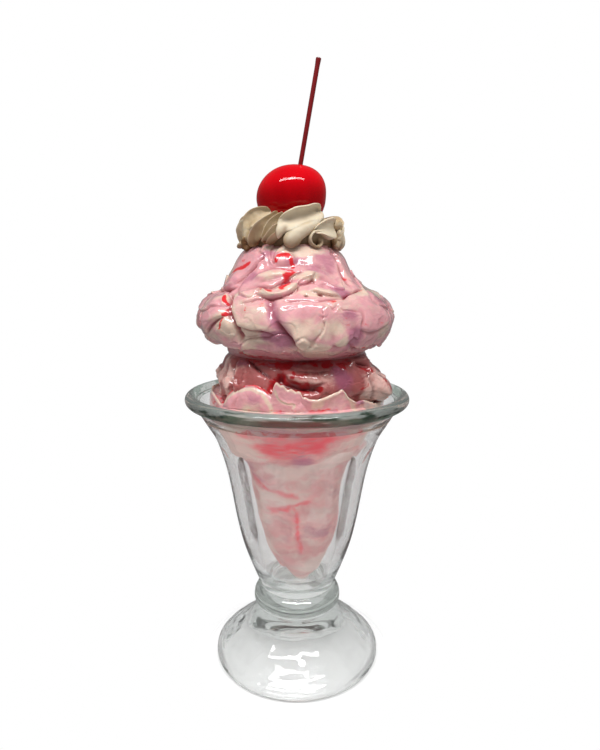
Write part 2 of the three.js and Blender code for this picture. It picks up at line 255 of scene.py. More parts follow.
def nearCurve(field, points, reach, wobble):
    # the part of the grid near a curve of (angle, height) points on the
    # unrolled surface, and where it lies beside that curve
    angles, heights = np.array(points, float).T
    middle = angles[0] + np.mean(turnBetween(angles[0], angles))
    size = np.interp(np.mean(heights), field["sideZ"], field["sideR"])
    curve = np.stack([turnBetween(middle, angles) * degree * size,
                      np.interp(heights, field["sideZ"], field["sideDistance"])], axis=1)
    x = turnBetween(middle, field["angle"]) * degree * size
    y = field["distance"]
    rows, columns = (np.flatnonzero((at > ends.min() - reach) & (at < ends.max() + reach))
                     for at, ends in ((y, curve[:, 1]), (x, curve[:, 0])))
    here = np.ix_(rows, columns)
    side, along, length, left = besideCurve(np.stack(np.meshgrid(x[columns], y[rows]), axis=-1), curve)
    return here, side + wobble * field["wobble"][here], along, length, left


def endFade(along, length, fade):
    # 1 along a curve and 0 just past both its ends
    return smooth(along, -0.4 * fade, fade) * smooth(length - along, -0.4 * fade, fade)


def shelfProfile(side, width, edge):
    # rises in a quarter circle over the edge and sinks back over the width
    return quarterRise(side / edge) * np.exp(-(np.maximum(side - edge, 0) / width) ** 1.5)


def addFold(field, points, lift, width, edge=1.2, crease=0.0, over=0.0, fade=4.0, wobble=0.3):
    # An overlapping fold: the left side stands out by lift behind a rounded
    # edge. A crease runs along the low side, and the edge may hang over it.
    here, side, along, length, left = nearCurve(field, points, width * 2.2 + 4, wobble)
    ends = endFade(along, length, fade)
    shelf = shelfProfile(side, width, edge)
    field["lift"][here] += ends * (lift * shelf - crease * bell(side + 0.3, 0.8))
    hang = -over * ends * shelf * bell(np.maximum(side - edge, 0), 1.5 * edge)
    field["across"][here] += hang * left[..., 0]
    field["up"][here] += hang * left[..., 1]


def addRidge(field, points, lift, width, fade=3.0, wobble=0.3):
    # a rounded ridge along a curve, or a groove if lift is negative
    here, side, along, length = nearCurve(field, points, width * 4 + 2, wobble)[:4]
    field["lift"][here] += lift * endFade(along, length, fade) * bell(side, width)


def addPlates(field, cell, step, spread, seed, share=1.0):
    # Overlapping plates: along the line where a stirred soft noise is 0 the
    # surface stands out by the step, and sinks back over the spread.
    stir = 0.3 * cell * softNoise(field["base"], cell / 2, seed + 5, 2)
    level = softNoise((field["base"] + stir[..., None]) * [1, 1, 1.7], cell, seed, 2)
    edge = np.sqrt(np.clip(level / 0.06, 0, 1))
    field["lift"] += share * step * (edge * np.exp(-np.maximum(level, 0) / spread) - 0.35 * bell(level + 0.03, 0.04))


def surfacePlace(field, angle, z, slope):
    # distances along and over a tilted patch, on the unrolled surface
    size = np.interp(z, field["sideZ"], field["sideR"])
    x = (turnBetween(angle, field["angle"]) * degree * size)[None, :]
    y = (field["distance"] - np.interp(z, field["sideZ"], field["sideDistance"]))[:, None]
    s, c = np.sin(slope * degree), np.cos(slope * degree)
    return x * c + y * s, y * c - x * s


def addLump(field, angle, z, width, height, rise, slope=0, flat=1):
    # a rounded lump, or a hollow if rise is negative; flat above 1 gives it a
    # flatter top and steeper sides
    along, over = surfacePlace(field, angle, z, slope)
    field["lift"] += rise * np.exp(-((along / width) ** 2 + (over / height) ** 2) ** flat)


def paintCurve(field, layer, points, width, strength=1.0, fade=3.0, wobble=0.8):
    # a stroke of one paint layer along a curve, with a bell shaped section
    here, side, along, length = nearCurve(field, points, width * 3 + 2, wobble)[:4]
    field[layer][here] = np.maximum(field[layer][here], strength * endFade(along, length, fade) * bell(side, width))


def paintPatch(field, layer, angle, z, width, height, strength=1.0, slope=0):
    # an oval patch of one paint layer, with a ragged edge
    along, over = surfacePlace(field, angle, z, slope)
    reach = np.sqrt((along / width) ** 2 + (over / height) ** 2) + 0.45 * field["wobble"]
    field[layer] = np.maximum(field[layer], strength * smooth(reach, 1.5, 0.35))


def blurred(values, rowReach, columnReach):
    # plain average over a small window, round the seam
    padded = np.pad(values, ((rowReach, rowReach), (0, 0)), mode="edge")
    total = sum(padded[i:i + len(values)] for i in range(2 * rowReach + 1)) / (2 * rowReach + 1)
    return sum(np.roll(total, i, axis=1) for i in range(-columnReach, columnReach + 1)) / (2 * columnReach + 1)


creaseReach = (8, 5)  # rows and columns over which a crease or an edge counts
raisedEdgePaling = 0.5  # how much paler the raised edges are painted


def finishField(field, shift=0.0):
    # The modelled surface as a grid, and the paint layers: raised edges are painted
    # paler, and the fourth number, the depth of the creases, is painted shade.
    baseR, baseZ, alongR, alongZ, free = (field[name][:, None] for name in ("r", "z", "alongR", "alongZ", "free"))
    lift = field["lift"] * free
    turn = (field["angle"] + free * field["across"] / np.maximum(baseR, 1) / degree) * degree
    r = np.maximum(baseR + lift * alongZ + free * field["up"] * alongR, 0)
    z = baseZ - lift * alongR + free * field["up"] * alongZ
    relief = lift - blurred(lift, *creaseReach)
    cream = field["cream"] + raisedEdgePaling * smooth(relief, 0.15, 0.9)
    marble = np.stack([field["red"], field["mauve"], cream, np.clip(-relief, 0, 1)], axis=-1)
    return turned(r, z, turn, shift), np.clip(marble, 0, 1)


# Materials.

def addNode(tree, kind, inputs={}, **settings):
    # One node with its settings. Inputs are named or in order, and each is a
    # value, an output, or a node that stands for its first output in use.
    made = tree.nodes.new("ShaderNode" + kind)
    for name, value in settings.items():
        setattr(made, name, value)
    for name, value in (inputs if isinstance(inputs, dict) else dict(enumerate(inputs))).items():
        if isinstance(value, bpy.types.Node):
            value = next(output for output in value.outputs if output.enabled)
        if isinstance(value, bpy.types.NodeSocket):
            tree.links.new(value, made.inputs[name])
        else:
            made.inputs[name].default_value = value
    return made


soft = {"interpolation_type": "SMOOTHSTEP"}
multiplyAdd = {"operation": "MULTIPLY_ADD"}
shades = {"data_type": "RGBA"}


def newMaterial(name):
    # an empty material, what adds a node to it, and the place of a point
    material = bpy.data.materials.new(name)
    material.use_nodes = True
    material.node_tree.nodes.clear()
    add = partial(addNode, material.node_tree)
    return material, add, add("TexCoord").outputs["Object"]


# Modelling filler, coloured right through and brushed while it set, under a
# poured coat of clear resin: soft marbled colour below a wet, mirror-like skin.
# the dark red colour is painted shade, laid into creases, recesses and undersides
marbledFiller = {
    "pink": "#de9fa5", "paleCream": "#dec3b1", "mauve": "#b87389", "red": "#d8202a", "paintedShadeColour": "#94303c",
    "creamFrom": 1.2, "creamTo": 2.05, "redFrom": 1.0, "redTo": 1.4,
    "resin": 1.0, "soft": 0.22, "roughness": 0.45, "swirl": 14.0, "warp": 8.0, "mottle": 4.0, "brush": 1.5,
    "grain": 1.0, "grainHeight": 0.14, "wave": 3.8, "waveHeight": 0.15, "ripple": 1.6, "rippleHeight": 0.012,
    # glow is painted light: the filler gives off light in its own colour, more in a band at a set height
    "glow": 0.0, "bandPaintedGlow": 0.0, "paintedGlowBandHeight": 0.1075,
}


def marbledMaterial(name, changes={}):
    # noise and the paint layers add up to the share of each colour over pink
    v = {**marbledFiller, **changes}
    material, add, place = newMaterial(name)
    paint = add("Attribute", attribute_name="marble").outputs
    layer = add("SeparateColor", {0: paint["Color"]}).outputs

    # the pattern is stirred by a coarse push, and lies in flat layers
    stir = add("TexNoise", {"Vector": place, "Scale": 1000 / v["warp"], "Detail": 3.0}).outputs["Color"]
    push = add("VectorMath", [stir, (0.012, 0.012, 0.012), (-0.006, -0.006, -0.006)], **multiplyAdd)
    bent = add("VectorMath", [place, push], operation="ADD")
    flat = add("Mapping", {"Vector": bent, "Scale": (1.0, 1.0, 3.2)})
    swirl, mottle, brush, grain, wave, ripple = (
        add("TexNoise", {"Vector": vector, "Scale": scale, "Detail": detail, "Roughness": roughness})
        for vector, scale, detail, roughness in (
            (bent, 1000 / v["swirl"], 5, 0.62), (flat, 500 / v["mottle"], 4, 0.6), (flat, 333 / v["brush"], 4, 0.62),
            (flat, 333 / v["grain"], 3, 0.5), (place, 1000 / v["wave"], 1, 0.5), (flat, 1000 / v["ripple"], 1, 0.5)))

    # how much cream, mauve and red shows at a point, and how much painted shade it takes
    body = colour(v["pink"])
    for shade, total, patterns, start, end, most in (
            ("paleCream", layer["Blue"], ((swirl, 1.3), (mottle, 1.3)), v["creamFrom"], v["creamTo"], 1.0),
            ("mauve", layer["Green"], ((swirl, -0.6), (mottle, -0.8)), -0.62, 0.25, 0.95),
            ("red", layer["Red"], ((brush, 1.3),), v["redFrom"], v["redTo"], 1.0)):
        for pattern, share in patterns:
            total = add("Math", [pattern, share, total], **multiplyAdd)
        amount = add("MapRange", [total, start, end, 0.0, most], **soft)
        body = add("Mix", {0: amount, 6: body, 7: colour(v[shade])}, **shades)
    brushed = add("MapRange", [brush, 0.25, 0.75, 0.84, 1.08])
    body = add("VectorMath", {0: body, "Scale": brushed}, operation="SCALE")
    # painted shade: the fourth paint number darkens the colour in creases, recesses and undersides
    depth = add("MapRange", [paint["Alpha"], 0.05, 0.9, 0.0, 0.85])
    body = add("Mix", {0: depth, 6: body, 7: colour(v["paintedShadeColour"])}, **shades)

    # brush marks in the filler, and slow waves with fine ripples in the resin
    bump = add("Bump", {"Height": grain, "Strength": 0.6, "Distance": v["grainHeight"] * mm})
    skin = add("Bump", {"Height": wave, "Strength": 1.0, "Distance": v["waveHeight"] * mm})
    skin = add("Bump", {"Height": ripple, "Strength": 1.0, "Distance": v["rippleHeight"] * mm, "Normal": skin})
    # painted light: an even glow of the body colour, stronger in a band round a set height
    height = add("SeparateXYZ", [place]).outputs["Z"]
    offBand = add("Math", [height, v["paintedGlowBandHeight"]], operation="SUBTRACT")
    offBand = add("Math", [offBand], operation="ABSOLUTE")
    glow = add("MapRange", [offBand, 0.005, 0.010, v["glow"] + v["bandPaintedGlow"], v["glow"]])
    shader = add("BsdfPrincipled", {
        "Base Color": body, "Roughness": v["roughness"], "Normal": bump, "Specular IOR Level": 0.3,
        "Subsurface Weight": v["soft"], "Subsurface Radius": (1.0, 0.4, 0.35), "Subsurface Scale": 1.6 * mm,
        "Coat Weight": v["resin"], "Coat Roughness": 0.02, "Coat IOR": 1.54, "Coat Normal": skin,
        "Emission Color": body, "Emission Strength": glow})
    add("OutputMaterial", [shader])
    return material


# Soda-lime glass pressed in a mould and fire polished: clear, with a grey-green
# cast and faint drawn streaks where the rim is thick. A part of the light goes
# straight through, which keeps the thick rings grey and not black. The rolled
# edge has a dull share too, larger at the front, and the casts of both are
# painted darker above a height that depends on Y, a painted reflection of the dark room.
pressedGlass = {
    "ior": 1.52, "tint": "#c6d1ca", "density": 9.0, "footDensity": 21.0, "footFrom": 0.018, "footTo": 0.027,
    "rimLight": "#f6fbf7", "rimDark": "#668a76", "streak": 0.9, "straight": 0.1, "rimStraight": 0.14,
    "front": (-0.045, -0.024), "darkFront": 0.1207, "darkSide": 0.1184, "darkening": 100,
    "hazeFront": 0.38, "hazeSide": 0.2, "hazeLight": "#ccd6d0", "hazeDark": "#2e4d3c",
}


def glassMaterial(name, streaked):
    # clear glass; where it is streaked a stretched noise mixes two casts, and is
    # painted darker above a height that depends on Y, a painted reflection of the dark room
    v = pressedGlass
    material, add, place = newMaterial(name)
    point = add("SeparateXYZ", [place]).outputs
    shader = add("BsdfPrincipled", {
        "Base Color": (1.0, 1.0, 1.0, 1.0), "Roughness": 0.0, "IOR": v["ior"], "Transmission Weight": 1.0})
    if streaked:
        long = add("Mapping", {"Vector": place, "Scale": (0.09, 0.09, 1.0)})
        streak = add("TexNoise", {"Vector": long, "Scale": 1000 / v["streak"], "Detail": 2.0})
        haze, limit = (add("MapRange", [point["Y"], *v["front"], *ends]) for ends in (
            (v["hazeFront"], v["hazeSide"]), (v["darkFront"], v["darkSide"])))
        # painted reflection: above the height limit both casts turn to their dark colours
        high = add("Math", [point["Z"], limit], operation="SUBTRACT")
        streak = add("Math", [high, v["darkening"], streak], **multiplyAdd)
        share = add("MapRange", [streak, 0.45, 0.56])
        cast, dull = (add("Mix", {0: share, 6: colour(v[dark]), 7: colour(v[light])}, **shades)
                      for dark, light in (("rimDark", "rimLight"), ("hazeDark", "hazeLight")))
        material.node_tree.links.new(cast.outputs[2], shader.inputs["Base Color"])
        dullShare = add("BsdfPrincipled", {"Base Color": dull, "Roughness": 0.25})
        shader = add("MixShader", [haze, shader, dullShare])
    clear = add("BsdfTransparent")
    both = add("MixShader", [v["rimStraight" if streaked else "straight"], shader, clear])
    density = add("MapRange", [point["Z"], v["footFrom"], v["footTo"], v["footDensity"], v["density"]])
    inside = add("VolumeAbsorption", {"Color": colour(v["tint"]), "Density": density})
    add("OutputMaterial", {"Surface": both, "Volume": inside})
    return material


# Silicone piped through a star nozzle: matt and slightly waxy, with brown painted
# shade in the folds and low down, and a warm tan that is partly painted shade.
pipedSilicone = {
    "light": "#d2c4ac", "warmAndShade": "#ab9068", "shade": "#6c4a2a", "bleed": "#d8404a", "cloud": 6, "pore": 0.8,
}


def siliconeMaterial():
    # light, then warm by noise and by paint that is partly painted shade, then brown painted shade and red by paint
    # alone
    v = pipedSilicone
    material, add, place = newMaterial("pipedSilicone")
    paint = add("Attribute", attribute_name="marble").outputs
    layer = add("SeparateColor", [paint["Color"]]).outputs
    cloud = add("TexNoise", {"Vector": place, "Scale": 1000 / v["cloud"], "Detail": 4.0})
    warmAndShade = add("Math", [cloud, 0.7, layer["Green"]], **multiplyAdd)
    warmAndShade = add("MapRange", [warmAndShade, 0.3, 1.2])
    body = colour(v["light"])
    for amount, shade in ((warmAndShade, "warmAndShade"), (paint["Alpha"], "shade"), (layer["Red"], "bleed")):
        body = add("Mix", {0: amount, 6: body, 7: colour(v[shade])}, **shades)
    pore = add("TexNoise", {"Vector": place, "Scale": 1000 / v["pore"], "Detail": 3.0})
    bump = add("Bump", {"Height": pore, "Strength": 0.6, "Distance": 0.07 * mm})
    shader = add("BsdfPrincipled", {
        "Base Color": body, "Roughness": 0.6, "Normal": bump, "Specular IOR Level": 0.35,
        "Subsurface Weight": 0.2, "Subsurface Radius": (1.0, 0.7, 0.45), "Subsurface Scale": 0.9 * mm})
    add("OutputMaterial", [shader])
    return material


# Cherry cast in red acrylic and buffed: deep colour with faint clouds in it.
castAcrylic = {"red": "#d40816", "dark": "#820005", "cloud": 9.0, "paintedShadeHeights": (0.190, 0.2, 0.2085)}


def acrylicMaterial():
    # red, darkened by clouds, and painted darker round the middle height
    v = castAcrylic
    material, add, place = newMaterial("castRedAcrylic")
    tall = add("Mapping", {"Vector": place, "Scale": (1.0, 1.0, 0.4)})
    cloud = add("TexNoise", {"Vector": tall, "Scale": 1000 / v["cloud"], "Detail": 3.0})
    # painted light and shade: the top and the bottom of the ball are painted lighter than the middle
    height = add("SeparateXYZ", [place]).outputs["Z"]
    low, middle, high = v["paintedShadeHeights"]
    under = add("MapRange", [height, low, middle, 0.05, 0.4], **soft)
    over = add("MapRange", [height, middle, high, 0.0, 0.5], **soft)
    depth = add("Math", [under, over], operation="SUBTRACT")
    depth = add("Math", [cloud, 0.6, depth], use_clamp=True, **multiplyAdd)
    body = add("Mix", {0: depth, 6: colour(v["red"]), 7: colour(v["dark"])}, **shades)
    shader = add("BsdfPrincipled", {
        "Base Color": body, "Roughness": 0.5, "Specular IOR Level": 0.0, "Coat Weight": 0.7, "Coat Roughness": 0.01,
        "Coat IOR": 1.42, "Subsurface Weight": 0.1, "Subsurface Radius": (1.0, 0.08, 0.08),
        "Subsurface Scale": 2 * mm})
    add("OutputMaterial", [shader])
    return material


# Drawn plastic rod, dyed right through: smooth with fine marks along it.
drawnRod = {"red": "#86080f", "dark": "#5d0408", "mark": 0.6}


def rodMaterial():
    # two reds mixed by a noise that is stretched upwards
    v = drawnRod
    material, add, place = newMaterial("drawnPlasticRod")
    long = add("Mapping", {"Vector": place, "Scale": (1.0, 1.0, 0.08)})
    mark = add("TexNoise", {"Vector": long, "Scale": 1000 / v["mark"], "Detail": 2.0})
    body = add("Mix", {0: mark, 6: colour(v["red"]), 7: colour(v["dark"])}, **shades)
    shader = add("BsdfPrincipled", {
        "Base Color": body, "Roughness": 0.3, "Coat Weight": 0.5, "Coat Roughness": 0.1})
    add("OutputMaterial", [shader])
    return material


# Glass.

glassSizes = {
    "rimRadius": 47.5, "rimTube": 2.5, "height": 121.9, "footRadius": 36.7, "footEdge": 2.6, "standRadius": 32.4,
    "footHollow": 15.0, "flutes": 10, "fluteTurn": 18.0, "fluteDepth": 0.9, "fluteTop": 99.0,
    "fluteBottom": 52.0, "columns": 240, "ripple": 0.62, "rimFrom": (41.8, 116.5),
    # uneven foot: depth, cell, seed and octaves above, then below
    "above": [(0.75, 11, 5, 2), (0.42, 3.4, 7, 1)], "below": (0.7, 14, 8),
    "foot": [[34, 6.1], [32, 8], [27, 11.2], [22.6, 14.8], [19.8, 18.6], [18.3, 21.8], [17.6, 24.2]],
    "collar": [[17.3, 24.6], [18.4, 25.1], [19.2, 26.4], [19.34, 28], [19, 29.8], [18.1, 31.4], [16.9, 32.6],
               [16.2, 33]],
    "bowl": [[16.1, 33.2], [17.2, 36], [18.8, 40], [21.5, 47], [24.4, 56], [26.6, 66],
             [28.3, 76], [30.1, 86], [32.4, 95], [35.3, 103], [38.8, 109], [42.3, 114.8]],
    "inside": [[41.3, 118.6], [38.9, 115.6], [35.4, 110.3], [32, 104.5], [28.96, 96], [26.6, 86.8], [24.75, 76.6],
               [23.07, 66.7], [20.8, 57], [17.7, 48.4], [14.6, 41.5], [9.5, 36.8], [0, 35.2]],
}


def bowlRadius(z):
    # inside of the bowl, without its flutes
    r, height = splineThrough(glassSizes["inside"])[::-1].T
    return np.interp(z, height, r)


def fluteCut(angle, z):
    # Depth of the flutes in the inside of the bowl: the size of a sine of the
    # angle, up to arched tops.
    v = glassSizes
    across = np.abs(np.sin(v["flutes"] / 2 * (angle - v["fluteTurn"]) * degree)) + 0 * z
    top = v["fluteTop"] + 2 - 12 * (1 - across) ** 1.5
    ends = smooth(z, v["fluteBottom"], v["fluteBottom"] + 24) * smooth(z, top + 1, top - 2)
    return v["fluteDepth"] * across ** 1.7 * ends


def buildGlass():
    # Turned section from the hollow under the foot round the foot, collar,
    # bowl and rolled rim to the bottom of the bowl inside, where the flutes are
    # cut out.
    v = glassSizes
    hollow, edge, tube = v["footHollow"], v["footEdge"], v["rimTube"]
    underside = smoothRows([[0, hollow], [7, hollow - 0.6], [14, 12.2], [22, 8], [29, 3], [v["standRadius"], 0]], 60)
    outside = np.vstack([
        underside, arc(v["footRadius"] - edge, edge, edge, -90, 62, 16), smoothRows(v["foot"], 40),
        smoothRows(v["collar"], 40), smoothRows(v["bowl"], 80),
        arc(v["rimRadius"] - tube, v["height"] - tube, tube, -62, 180, 28)])
    inside = smoothRows(v["inside"], 120)
    rows = np.vstack([outside, inside])
    turn = circle(v["columns"])
    r, z = np.repeat(rows[:, :1], v["columns"], axis=1), rows[:, 1:]
    r[len(outside):] += fluteCut(turn / degree, inside[:, 1:])
    place = turned(r, z, turn)
    # a pressed foot is never quite even, above or below
    isAbove = (np.arange(len(rows)) > len(underside))[:, None]
    uneven = sum(depth * softNoise(place, *noise) for depth, *noise in v["above"])
    uneven = uneven * stretch(z, 2, 6, 22, 27) * isAbove
    depth, *noise = v["below"]
    under = depth * softNoise(place, *noise) * stretch(z, 1, 5, 12, 18) * ~isAbove
    place[..., 2] += v["ripple"] * (uneven + under) * (r > 3)
    atRim = (rows > v["rimFrom"]).all(axis=1)
    addPiece("fluted_glass", [place], [glassMaterial("pressedSodaLimeGlass", False),
             glassMaterial("firePolishedRim", True)], "glass", None, atRim)


buildGlass()


# Upper scoop. Angles are in degrees, heights are above the floor.

